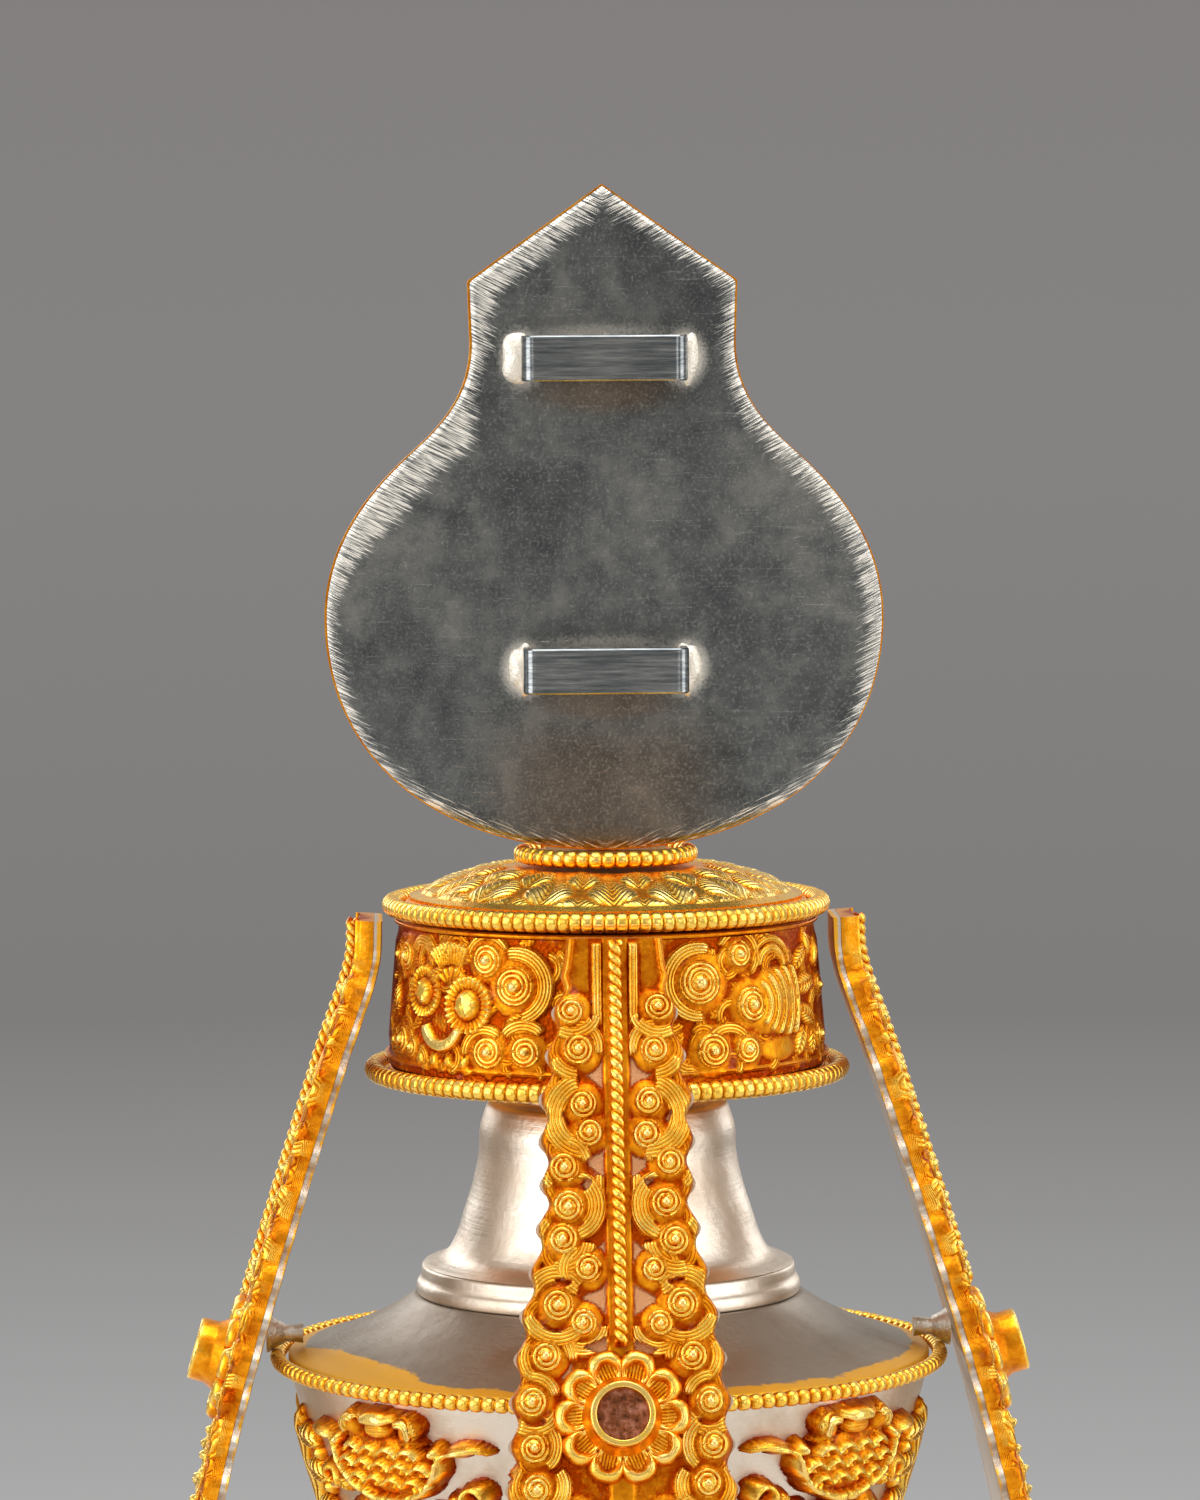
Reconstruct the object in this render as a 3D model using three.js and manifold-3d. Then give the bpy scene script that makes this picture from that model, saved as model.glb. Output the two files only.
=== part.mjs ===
// A Himalayan long-life vase: a raised silver body on a lotus foot, with a gilt repousse drum, four
// gilt straps, and a lift-off lid that carries an upright plaque. Millimetres, +Z up. The origin is
// under the middle of the foot. The plaque's plain silver back, with its two ribbon loops, faces -Y.
import * as THREE from 'three';
import { mergeVertices } from 'three/addons/utils/BufferGeometryUtils.js';
import Module from 'manifold-3d';

const wasm = await Module();
wasm.setup();

// Sheet metal and clearances
const SHEET = 1.0;
const SEAT_GAP = 0.3;

// Foot, stem and the lotus cup under the belly
const FOOT_RADIUS = 31.8;
const FOOT_HEIGHT = 27;
const FOOT_RIM_HEIGHT = 3;
const FOOT_BEAD_WIRE = 1.0;
const FOOT_NECK_RADIUS = 8.6;
const FOOT_PETALS = 12;
const FOOT_PETAL_LIFT = 1.4;
const WAIST_BEAD_WIRE = 0.8;
const WAIST_RADIUS = 18.6;
const STEM_HEIGHT = 16.4;
const STEM_WAIST_RADIUS = 6;
const KNOP_RADIUS = 10.8;
const CALYX_PETALS = 12;
const CALYX_SHEET = 0.9;
const CALYX_PETAL_RISE = 2.6;

// Belly bowl and shoulder
const BELLY_RADIUS = 32.2;
const BELLY_BASE_RADIUS = 8.6;
const BELLY_HEIGHT = 41.1;
const SHOULDER_RISE = 5.8;
const SHOULDER_LANDING_RADIUS = 19.4;
const SHOULDER_BEAD_WIRE = 0.8;
const MOUTH_RADIUS = 15.2;

// Stepped collar and bell-shaped neck
const NECK_COLLAR_RADIUS = 19;
const NECK_COLLAR_HEIGHT = 2.4;
const NECK_FLARE_RADIUS = 18.6;
const NECK_WAIST_RADIUS = 12.8;
const NECK_PIPE_RADIUS = 10.6;
const NECK_HEIGHT = 20.4;
const NECK_PIPE_LENGTH = 4.2;

// Drum on top of the neck
const DRUM_RADIUS = 20.7;
const DRUM_FLARE = 1.2;
const DRUM_HEIGHT = 14.4;
const DRUM_LIP = 1.4;
const DRUM_LIP_HEIGHT = 0.9;
const DRUM_RELIEF = 1.0;
const DRUM_BEAD_WIRE = 1.0;

// Lid
const LID_RIM_SET_IN = 0.5;
const LID_EDGE_RISE = 1.6;
const LID_RISE = 3.2;
const LID_PETALS = 16;
const LID_PETAL_LIFT = 0.7;
const LID_BEAD_WIRE = 1.0;
const SPIGOT_DEPTH = 3.9;
const SPIGOT_SHEET = 0.8;
const SPIGOT_CLEARANCE = 0.5;
const LID_COLLAR_RADIUS = 7.2;
const LID_COLLAR_HEIGHT = 1.2;
const LID_COLLAR_BEAD_WIRE = 0.9;

// Plaque
const PLAQUE_HEIGHT = 65.9;
const PLAQUE_HALF_WIDTH = 27.65;
const PLAQUE_THROAT_HALF_WIDTH = 13;
const PLAQUE_BACK_SHEET = 1.0;
const PLAQUE_SHELL_DEPTH = 2.5;
const PLAQUE_SHELL_SHEET = 0.9;
const PLAQUE_SHELL_OVERHANG = 0.25;
const PLAQUE_RIM_WIDTH = 1.8;
const PLAQUE_RIM_LIFT = 0.8;
const TANG_WIDTH = 12;
const TANG_SHEET = 1.0;
const TANG_REACH = 13;
// The figure on the plaque's face: its head's height, its lap above the plaque's foot, and its relief
const FIGURE_HEAD = 4.4;
const FIGURE_LAP_RISE = 14.5;
const FIGURE_PROUD = 3;

// Loops on the plaque's back
const LOOP_WIDTH = 16.4;
const LOOP_HEIGHT = 4.5;
const LOOP_STRIP = 0.8;
const LOOP_DEPTH = 4.5;
const LOOP_BEND = 1.4;
const UPPER_LOOP_RISE = 48.9;
const LOWER_LOOP_RISE = 18;

// Straps: a silver sheet behind, a gilt scrolled sheet in front
const STRAP_COUNT = 4;
const STRAP_BACK_SHEET = 0.8;
const STRAP_FRONT_SHEET = 0.9;
const STRAP_RELIEF = 1.1;
const STRAP_DRUM_CLEARANCE = 1.9;
const STRAP_SHOULDER_CLEARANCE = 1.1;
const STRAP_TIP_RADIUS = 43.5;
const STRAP_TIP_HEIGHT = 48;
const SCROLL_PITCH = 4;
const SCROLL_FIRST_DROP = 7.3;
const SCROLL_EDGE_MARGIN = 1.7;
const COIL_SHARE = 0.6;
const COIL_STEP = 0.5;
const TAB_SHARE = 0.3;
const SCALLOP = 0.32;
// How wide a strap is, at each drop below its top
const STRAP_WIDTHS = [
  [0, 9.2],
  [5, 10.3],
  [10, 12],
  [16, 14],
  [25, 13.8],
  [31, 16],
  [36, 18.3],
  [43, 20.2],
  [50, 20.6],
  [61, 25],
  [69, 21.5],
  [76, 11],
  [82, 2.4],
];
const STRAP_WIRE = 0.7;
const STRAP_WIRE_SEAT = 1.3;
const FLOWER_DROP = 44.9;
const FLOWER_RADIUS = 6.3;
const FLOWER_PETALS = 10;
const FLOWER_HEIGHT = 1.0;
const BEZEL_RADIUS = 3.15;
const BEZEL_SEAT_RADIUS = 2.5;
const BEZEL_HEIGHT = 2.9;
const BEZEL_FLOOR = 0.8;
const STAY_RADIUS = 0.8;
const STAY_OVERLAP = 1.5;

// Gilt ornaments on the belly, between the straps: how wide the sheet is at each drop below the bowl's
// rim, from the cap past the horns and the rings to the hanging drop
const MASK_SHEET = 0.8;
const MASK_TOLERANCE = 0.17;
const MASK_OUTLINE = [
  [0.9, 2.9],
  [1.5, 5.0],
  [3.2, 6.8],
  [4.2, 12.4],
  [6.2, 7.9],
  [7.6, 11.9],
  [9.6, 11.6],
  [11.4, 7.0],
  [14.6, 7.2],
  [20.0, 3.4],
  [27.0, 0.9],
];
// The jewel's smooth rim: half its width, how far down it reaches, how wide and how proud it is
const JEWEL_DROP = 4.6;
const JEWEL_HALF = 7.1;
const JEWEL_REACH = 5.2;
const JEWEL_RIM = 1.1;
const JEWEL_RIM_PROUD = 2.9;
// What stands on the sheet: its middle across and down, half width, half height, and how proud
const MASK_CAP = { across: 0, drop: 1.3, wide: 3.0, tall: 0.45, proud: 3.3, sides: 4, top: 0.95 };
const MASK_BLOCK = { across: 0, drop: 2.4, wide: 2.2, tall: 0.9, proud: 2.9, top: 0.8 };
const MASK_JEWEL = { across: 0, drop: 6.3, wide: 6.3, tall: 3.3, proud: 2.7, sides: 7, top: 0.75 };
const MASK_PENDANT = { across: 0, drop: 12.4, wide: 2.6, tall: 2.4, proud: 2.7 };
const MASK_DROP = { across: 0, drop: 20.6, wide: 1.6, tall: 4.6, proud: 2.3 };
// The same, for what stands on both sides
const MASK_PAIRS = [
  { across: 3.9, drop: 2.4, wide: 1.5, tall: 1.2, proud: 2.8 },
  { across: 9.8, drop: 4.6, wide: 2.9, tall: 0.9, proud: 2.4, turn: 0.2 },
  { across: 9.9, drop: 8.6, wide: 2.0, tall: 1.4, proud: 2.3, turn: 0.3 },
  { across: 5.2, drop: 12.8, wide: 1.8, tall: 1.8, proud: 2.4 },
];

// Facets round each turned piece
const BODY_STEPS = 32;
const WIRE_STEPS = 32;
const WIRE_SIDES = 5;
const SMALL_STEPS = 20;

// Levels, each standing on the one below
const stemBase = FOOT_HEIGHT + SEAT_GAP;
const stemTop = stemBase + STEM_HEIGHT;
const bellyBase = stemTop + SEAT_GAP;
const bellyTop = bellyBase + BELLY_HEIGHT;
const shoulderEdge = bellyTop + SEAT_GAP + SHEET;
const shoulderTop = shoulderEdge + SHOULDER_RISE;
const neckCollarBase = shoulderTop + SEAT_GAP;
const neckBase = neckCollarBase + NECK_COLLAR_HEIGHT + SEAT_GAP;
const neckTop = neckBase + NECK_HEIGHT;
const drumFloorBase = neckTop - SHEET - SEAT_GAP;
const drumBase = drumFloorBase + SHEET + SEAT_GAP;
const drumTop = drumBase + DRUM_HEIGHT;
const lidBase = drumTop + SEAT_GAP;
const lidTop = lidBase + LID_EDGE_RISE + LID_RISE;
const lidCollarBase = lidTop + SEAT_GAP;
const plaqueBase = lidCollarBase + LID_COLLAR_HEIGHT + SEAT_GAP;

// Radii that neighbours share
const drumFootRadius = DRUM_RADIUS + DRUM_FLARE;
const drumLipRadius = DRUM_RADIUS + DRUM_LIP;
const drumBeadRadius = drumFootRadius + SEAT_GAP + DRUM_BEAD_WIRE + 0.2;
const shoulderBeadRadius = BELLY_RADIUS + SEAT_GAP + SHOULDER_BEAD_WIRE;
const shoulderBeadHeight = shoulderEdge - SHEET / 2;
const drumBeadHeight = drumFloorBase + SHEET / 2;
const lidEdgeRadius = DRUM_RADIUS - LID_RIM_SET_IN;
const plaqueBackY = -(PLAQUE_BACK_SHEET + SEAT_GAP + PLAQUE_SHELL_DEPTH) / 2;
const plaqueShellY = plaqueBackY + PLAQUE_BACK_SHEET + SEAT_GAP;
const plaqueFaceY = plaqueShellY + PLAQUE_SHELL_DEPTH;

const silver = new THREE.MeshStandardMaterial({ color: 0xc9c6c0, metalness: 1, roughness: 0.35 });
const polishedSilver = new THREE.MeshStandardMaterial({ color: 0x9a9c9c, metalness: 1, roughness: 0.2 });
const gilt = new THREE.MeshStandardMaterial({ color: 0xe2a11e, metalness: 1, roughness: 0.3 });

const vase = new THREE.Group();

function add(name, geometry, material, group = vase) {
  const mesh = new THREE.Mesh(geometry, material);
  mesh.name = name;
  group.add(mesh);
  return mesh;
}

// Turns a closed surface so that its faces point out of it.
function outward(geometry) {
  const bare = geometry.clone();
  bare.deleteAttribute('normal');
  bare.deleteAttribute('uv');
  const closed = mergeVertices(bare, 1e-4);
  const index = closed.index.array;
  const a = new THREE.Vector3();
  const b = new THREE.Vector3();
  const c = new THREE.Vector3();
  let volume = 0;
  for (let i = 0; i < index.length; i += 3) {
    a.fromBufferAttribute(closed.attributes.position, index[i]);
    b.fromBufferAttribute(closed.attributes.position, index[i + 1]);
    c.fromBufferAttribute(closed.attributes.position, index[i + 2]);
    volume += a.dot(b.cross(c));
  }
  if (volume < 0) {
    index.reverse();
  }
  closed.computeVertexNormals();
  return closed;
}

function toSolid(geometry) {
  const closed = outward(geometry);
  const mesh = new wasm.Mesh({
    numProp: 3,
    vertProperties: closed.attributes.position.array,
    triVerts: new Uint32Array(closed.index.array),
  });
  return new wasm.Manifold(mesh);
}

function toGeometry(solid) {
  const { vertProperties, triVerts } = solid.getMesh();
  const geometry = new THREE.BufferGeometry();
  geometry.setAttribute('position', new THREE.BufferAttribute(vertProperties, 3));
  geometry.setIndex(new THREE.BufferAttribute(triVerts, 1));
  geometry.computeVertexNormals();
  return geometry;
}

// A box from its low corner to its high corner.
function box(low, high) {
  const size = new THREE.Vector3().subVectors(high, low);
  const middle = new THREE.Vector3().addVectors(low, high).multiplyScalar(0.5);
  return new THREE.BoxGeometry(size.x, size.y, size.z).translate(middle.x, middle.y, middle.z);
}

// A solid of revolution. A profile point is [radius, height, out, up]: the last two say how far a
// raised ornament lifts that point where wave(angle) is 1.
function revolve(profile, steps, wave = () => 0) {
  const geometry = new THREE.LatheGeometry(profile.map(([r, z]) => new THREE.Vector2(r, z)), steps);
  const position = geometry.attributes.position;
  for (let i = 0; i < position.count; i++) {
    const [radius, height, out = 0, up = 0] = profile[i % profile.length];
    const angle = (Math.floor(i / profile.length) / steps) * 2 * Math.PI;
    const crest = wave(angle);
    const reach = radius + crest * out;
    position.setXYZ(i, reach * Math.cos(angle), reach * Math.sin(angle), height + crest * up);
  }
  return outward(geometry);
}

// The closed profile of a sheet whose outer side runs along the given points, upwards or inwards.
function sheetProfile(outer, sheet) {
  const inner = outer.map(([r, z], i) => {
    const [r0, z0] = outer[Math.max(i - 1, 0)];
    const [r1, z1] = outer[Math.min(i + 1, outer.length - 1)];
    const length = Math.hypot(r1 - r0, z1 - z0);
    const inset = r === 0 ? 0 : ((z1 - z0) / length) * sheet;
    return [r - inset, z + ((r1 - r0) / length) * sheet];
  });
  return [...outer, ...inner.reverse(), outer[0]];
}

// A ring of round wire about the Z axis.
function wireRing(ringRadius, wireRadius, height, steps = WIRE_STEPS) {
  const profile = [];
  for (let i = 0; i <= WIRE_SIDES; i++) {
    const angle = (i / WIRE_SIDES) * 2 * Math.PI + Math.PI / 2;
    profile.push([ringRadius + wireRadius * Math.cos(angle), height + wireRadius * Math.sin(angle)]);
  }
  return revolve(profile, steps);
}

// A closed solid through a row of sections, each a ring of the same number of points.
function loft(sections) {
  const count = sections[0].length;
  const points = sections.flat();
  const index = [];
  for (let i = 0; i + 1 < sections.length; i++) {
    for (let j = 0; j < count; j++) {
      const a = i * count + j;
      const b = i * count + ((j + 1) % count);
      index.push(a, b, b + count, a, b + count, a + count);
    }
  }
  for (const section of [0, sections.length - 1]) {
    const middle = new THREE.Vector3();
    sections[section].forEach((p) => middle.addScaledVector(p, 1 / count));
    const hub = points.push(middle) - 1;
    for (let j = 0; j < count; j++) {
      const a = section * count + j;
      const b = section * count + ((j + 1) % count);
      index.push(...(section === 0 ? [b, a, hub] : [a, b, hub]));
    }
  }
  const geometry = new THREE.BufferGeometry().setFromPoints(points);
  geometry.setIndex(index);
  return outward(geometry);
}

// The value at x on a line through [x, value] pairs.
function along(pairs, x) {
  const next = Math.max(1, pairs.findIndex(([at]) => at >= x));
  const [x0, v0] = pairs[next - 1];
  const [x1, v1] = pairs[next];
  return THREE.MathUtils.lerp(v0, v1, THREE.MathUtils.clamp((x - x0) / (x1 - x0), 0, 1));
}

// The place on a curve that falls steadily, where it passes the given height.
function placeAtHeight(curve, heightOf, height) {
  let low = 0;
  let high = 1;
  for (let i = 0; i < 30; i++) {
    const middle = (low + high) / 2;
    if (heightOf(curve.getPoint(middle)) > height) {
      low = middle;
    } else {
      high = middle;
    }
  }
  return low;
}

// Belly bowl: its outer line falls from the rim to the base
const bellyLine = new THREE.CubicBezierCurve(
  new THREE.Vector2(BELLY_RADIUS, bellyTop),
  new THREE.Vector2(BELLY_RADIUS * 0.825, bellyTop - BELLY_HEIGHT * 0.54),
  new THREE.Vector2(BELLY_RADIUS * 0.62, bellyBase + BELLY_HEIGHT * 0.08),
  new THREE.Vector2(BELLY_BASE_RADIUS, bellyBase),
);

// A point a given distance off the bowl's outside, as [radius, height].
function offBelly(place, distance) {
  const point = bellyLine.getPoint(place);
  const tangent = bellyLine.getTangent(place);
  return [point.x - tangent.y * distance, point.y + tangent.x * distance];
}

function bellyBowl() {
  const outer = bellyLine.getPoints(7).map((p) => p.toArray()).reverse();
  outer.unshift([0, bellyBase]);
  return revolve(sheetProfile(outer, SHEET), BODY_STEPS);
}

function shoulderPlate() {
  const line = new THREE.QuadraticBezierCurve(
    new THREE.Vector2(BELLY_RADIUS, shoulderEdge),
    new THREE.Vector2(BELLY_RADIUS - (BELLY_RADIUS - SHOULDER_LANDING_RADIUS) * 0.62,
      shoulderEdge + SHOULDER_RISE * 0.36),
    new THREE.Vector2(SHOULDER_LANDING_RADIUS, shoulderTop),
  );
  const outer = line.getPoints(3).map((p) => p.toArray());
  outer.push([MOUTH_RADIUS, shoulderTop]);
  const inner = outer.map(([r, z]) => [r, z - SHEET]).reverse();
  return revolve([...outer, ...inner, outer[0]], BODY_STEPS);
}

function neckCollar() {
  const round = NECK_COLLAR_HEIGHT * 0.35;
  const top = neckCollarBase + NECK_COLLAR_HEIGHT;
  return revolve([
    [MOUTH_RADIUS, neckCollarBase],
    [NECK_COLLAR_RADIUS, neckCollarBase],
    [NECK_COLLAR_RADIUS + SEAT_GAP, neckCollarBase + round],
    [NECK_COLLAR_RADIUS, top - round],
    [NECK_COLLAR_RADIUS - round, top],
    [MOUTH_RADIUS, top],
    [MOUTH_RADIUS, neckCollarBase],
  ], BODY_STEPS);
}

// The neck sweeps in from its flared foot to a waist, rounds over, and ends in a pipe.
function neck() {
  const brow = neckTop - NECK_PIPE_LENGTH;
  const rise = brow - neckBase;
  const flare = NECK_FLARE_RADIUS - NECK_WAIST_RADIUS;
  const line = new THREE.SplineCurve([
    new THREE.Vector2(NECK_FLARE_RADIUS, neckBase),
    new THREE.Vector2(NECK_WAIST_RADIUS + flare * 0.62, neckBase + rise * 0.06),
    new THREE.Vector2(NECK_WAIST_RADIUS + flare * 0.45, neckBase + rise * 0.15),
    new THREE.Vector2(NECK_WAIST_RADIUS + flare * 0.27, neckBase + rise * 0.34),
    new THREE.Vector2(NECK_WAIST_RADIUS + flare * 0.13, neckBase + rise * 0.5),
    new THREE.Vector2(NECK_WAIST_RADIUS + flare * 0.02, neckBase + rise * 0.69),
    new THREE.Vector2(NECK_WAIST_RADIUS, neckBase + rise * 0.84),
    new THREE.Vector2(NECK_WAIST_RADIUS - 0.4, neckBase + rise * 0.93),
  ]);
  const outer = line.getPoints(7).map((p) => p.toArray());
  outer.push([(NECK_WAIST_RADIUS + NECK_PIPE_RADIUS) / 2, brow]);
  outer.push([NECK_PIPE_RADIUS, brow + SEAT_GAP]);
  outer.push([NECK_PIPE_RADIUS, neckTop]);
  const bore = NECK_PIPE_RADIUS - SHEET;
  const inner = line.getPoints(4).map(({ x, y }) => [x - SHEET, y]);
  inner.push([bore, brow - SHEET]);
  inner.push([bore, neckTop]);
  return revolve([...outer, ...inner.reverse(), outer[0]], BODY_STEPS);
}

function drumFloor() {
  const hole = NECK_PIPE_RADIUS + SEAT_GAP;
  const top = drumFloorBase + SHEET;
  return revolve([
    [hole, drumFloorBase],
    [drumFootRadius, drumFloorBase],
    [drumFootRadius, top],
    [hole, top],
    [hole, drumFloorBase],
  ], BODY_STEPS);
}

// The drum's wall is plain behind each strap and raised in a panel between two straps.
function drumWall() {
  const lip = drumTop - DRUM_LIP_HEIGHT;
  const reliefFoot = drumBase + DRUM_BEAD_WIRE * 1.2;
  const radiusAt = (z) => drumFootRadius - (DRUM_FLARE * (z - drumBase)) / DRUM_HEIGHT;
  const outer = [
    [drumFootRadius, drumBase],
    [radiusAt(reliefFoot), reliefFoot],
    [radiusAt(reliefFoot + 1), reliefFoot + 1, DRUM_RELIEF],
    [radiusAt((reliefFoot + lip) / 2), (reliefFoot + lip) / 2, DRUM_RELIEF * 0.8],
    [radiusAt(lip - 1.4), lip - 1.4, DRUM_RELIEF],
    [radiusAt(lip - 0.5), lip - 0.5],
    [radiusAt(lip), lip],
    [drumLipRadius, lip],
    [drumLipRadius, drumTop],
    [DRUM_RADIUS - SHEET, drumTop],
    [drumFootRadius - SHEET, drumBase],
    [drumFootRadius, drumBase],
  ];
  const panel = (angle) => {
    const fromStrap = Math.abs(Math.cos(angle * STRAP_COUNT * 0.5));
    return fromStrap > 0.9 ? 0 : 0.8 + 0.2 * Math.cos(angle * STRAP_COUNT * 4);
  };
  return revolve(outer, BODY_STEPS, panel);
}

function footShell() {
  const rise = FOOT_HEIGHT - FOOT_RIM_HEIGHT;
  const spread = FOOT_RADIUS - WAIST_RADIUS;
  const sweep = WAIST_RADIUS - FOOT_NECK_RADIUS;
  const ledge = FOOT_RIM_HEIGHT + rise * 0.44;
  const outer = [
    [FOOT_RADIUS, 0],
    [FOOT_RADIUS, FOOT_RIM_HEIGHT],
    [FOOT_RADIUS - spread * 0.08, FOOT_RIM_HEIGHT + rise * 0.05, FOOT_PETAL_LIFT * 0.3, 0],
    [FOOT_RADIUS - spread * 0.3, FOOT_RIM_HEIGHT + rise * 0.2, FOOT_PETAL_LIFT * 0.8, FOOT_PETAL_LIFT * 0.5],
    [FOOT_RADIUS - spread * 0.6, FOOT_RIM_HEIGHT + rise * 0.34, FOOT_PETAL_LIFT * 0.6, FOOT_PETAL_LIFT * 0.6],
    [FOOT_RADIUS - spread * 0.88, FOOT_RIM_HEIGHT + rise * 0.41],
    [WAIST_RADIUS, ledge],
    [WAIST_RADIUS, ledge + 2 * WAIST_BEAD_WIRE],
    [FOOT_NECK_RADIUS + sweep * 0.55, ledge + rise * 0.13],
    [FOOT_NECK_RADIUS + sweep * 0.22, ledge + rise * 0.26],
    [FOOT_NECK_RADIUS + sweep * 0.05, ledge + rise * 0.4],
    [FOOT_NECK_RADIUS, FOOT_HEIGHT],
  ];
  const petals = (angle) => Math.abs(Math.sin((angle * FOOT_PETALS) / 2));
  const inner = [
    [FOOT_RADIUS - SHEET, 0],
    [FOOT_RADIUS - SHEET, FOOT_RIM_HEIGHT * 0.8],
    [FOOT_RADIUS - spread * 0.62, FOOT_RIM_HEIGHT + rise * 0.28],
    [WAIST_RADIUS - SHEET, ledge - SHEET * 0.5],
    [FOOT_NECK_RADIUS + sweep * 0.5, ledge + rise * 0.07],
    [FOOT_NECK_RADIUS - SHEET, ledge + rise * 0.34],
    [FOOT_NECK_RADIUS - SHEET, FOOT_HEIGHT],
  ];
  return revolve([...outer, ...inner.reverse(), outer[0]], FOOT_PETALS * 3, petals);
}

function basePlate() {
  const radius = FOOT_RADIUS - SHEET - SEAT_GAP;
  return revolve([[0, 0], [radius, 0], [radius, SHEET], [0, SHEET]], BODY_STEPS);
}

function stem() {
  const rise = STEM_HEIGHT;
  const seat = BELLY_BASE_RADIUS - SEAT_GAP;
  return revolve([
    [0, stemBase],
    [FOOT_NECK_RADIUS - SEAT_GAP, stemBase],
    [FOOT_NECK_RADIUS - SEAT_GAP, stemBase + rise * 0.07],
    [STEM_WAIST_RADIUS, stemBase + rise * 0.15],
    [KNOP_RADIUS * 0.88, stemBase + rise * 0.26],
    [KNOP_RADIUS, stemBase + rise * 0.4],
    [KNOP_RADIUS * 0.88, stemBase + rise * 0.54],
    [STEM_WAIST_RADIUS, stemBase + rise * 0.65],
    [STEM_WAIST_RADIUS * 0.95, stemBase + rise * 0.8],
    [seat * 0.85, stemBase + rise * 0.92],
    [seat, stemBase + rise * 0.95],
    [seat, stemTop],
    [0, stemTop],
  ], SMALL_STEPS);
}

// A ring of upright petals that hugs the bottom of the bowl.
function calyx() {
  const places = [0.96, 0.86, 0.76, 0.66, 0.6];
  const rim = bellyLine.getTangent(places[places.length - 1]);
  const lift = [-rim.x * CALYX_PETAL_RISE, -rim.y * CALYX_PETAL_RISE];
  const inner = places.map((place) => offBelly(place, SEAT_GAP));
  const outer = places.map((place) => offBelly(place, SEAT_GAP + CALYX_SHEET));
  inner[places.length - 1].push(...lift);
  outer[places.length - 1].push(...lift);
  outer[2].push(CALYX_SHEET, -CALYX_SHEET * 0.5);
  outer[3].push(CALYX_SHEET * 0.7, -CALYX_SHEET * 0.4);
  const petals = (angle) => Math.abs(Math.sin((angle * CALYX_PETALS) / 2));
  return revolve([...outer, ...inner.reverse(), outer[0]], CALYX_PETALS * 3, petals);
}

function lidDome() {
  const rim = lidBase + LID_EDGE_RISE;
  const collar = LID_COLLAR_RADIUS + LID_COLLAR_BEAD_WIRE * 2 + SEAT_GAP;
  const run = lidEdgeRadius - collar;
  const outer = [
    [lidEdgeRadius, lidBase],
    [lidEdgeRadius, rim - LID_EDGE_RISE * 0.3],
    [lidEdgeRadius - run * 0.06, rim],
    [lidEdgeRadius - run * 0.3, rim + LID_RISE * 0.3, 0, LID_PETAL_LIFT],
    [lidEdgeRadius - run * 0.65, rim + LID_RISE * 0.68, 0, LID_PETAL_LIFT],
    [collar, lidTop],
    [0, lidTop],
    [0, lidTop - SHEET],
    [collar, lidTop - SHEET],
    [lidEdgeRadius - run * 0.4, lidBase + LID_EDGE_RISE],
    [lidEdgeRadius - SHEET * 2, lidBase],
    [lidEdgeRadius, lidBase],
  ];
  const petals = (angle) => 0.5 - 0.5 * Math.cos(angle * LID_PETALS);
  return revolve(outer, LID_PETALS * 2, petals);
}

function lidSpigot() {
  const outside = DRUM_RADIUS - SHEET - SPIGOT_CLEARANCE;
  const inside = outside - SPIGOT_SHEET;
  const top = lidBase - SEAT_GAP;
  const foot = top - SPIGOT_DEPTH;
  return revolve([[inside, foot], [outside, foot], [outside, top], [inside, top], [inside, foot]], BODY_STEPS);
}

const tangY = plaqueShellY + SEAT_GAP;

// The slot that the plaque's tang passes through, as a cutting block between two heights.
function tangSlot(low, high) {
  const half = TANG_WIDTH / 2 + SEAT_GAP;
  return box(
    new THREE.Vector3(-half, tangY - SEAT_GAP, low),
    new THREE.Vector3(half, tangY + TANG_SHEET + SEAT_GAP, high),
  );
}

function lidCollar() {
  const top = lidCollarBase + LID_COLLAR_HEIGHT;
  const disc = revolve([
    [0, lidCollarBase],
    [LID_COLLAR_RADIUS, lidCollarBase],
    [LID_COLLAR_RADIUS, top],
    [0, top],
  ], SMALL_STEPS);
  return toGeometry(toSolid(disc).subtract(toSolid(tangSlot(lidCollarBase - 1, top + 1))));
}

// The plaque's outline, grown by a margin: a round belly, a drawn-in throat and a pointed top.
function plaqueShape(margin) {
  const belly = PLAQUE_HALF_WIDTH + margin;
  const throat = PLAQUE_THROAT_HALF_WIDTH + margin;
  const corner = throat + 0.2;
  const low = plaqueBase - margin;
  const high = plaqueBase + PLAQUE_HEIGHT + margin;
  const at = (share) => plaqueBase + PLAQUE_HEIGHT * share;
  const shape = new THREE.Shape();
  shape.moveTo(0, low);
  shape.bezierCurveTo(belly * 0.58, low, belly, at(0.13), belly, at(0.35));
  shape.bezierCurveTo(belly, at(0.463), belly * 0.84, at(0.543), belly * 0.675, at(0.605));
  shape.bezierCurveTo(belly * 0.55, at(0.651), throat, at(0.698), throat, at(0.766));
  shape.lineTo(corner, at(0.857) + margin * 0.3);
  shape.lineTo(0, high);
  shape.lineTo(-corner, at(0.857) + margin * 0.3);
  shape.lineTo(-throat, at(0.766));
  shape.bezierCurveTo(-throat, at(0.698), -belly * 0.55, at(0.651), -belly * 0.675, at(0.605));
  shape.bezierCurveTo(-belly * 0.84, at(0.543), -belly, at(0.463), -belly, at(0.35));
  shape.bezierCurveTo(-belly, at(0.13), -belly * 0.58, low, 0, low);
  return shape;
}

// The plaque's outline as a slab between two depths along Y.
function plaqueSlab(margin, fromY, toY) {
  const slab = new THREE.ExtrudeGeometry(plaqueShape(margin), {
    depth: toY - fromY,
    bevelEnabled: false,
    curveSegments: 6,
  });
  return slab.rotateX(Math.PI / 2).translate(0, toY, 0);
}

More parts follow.
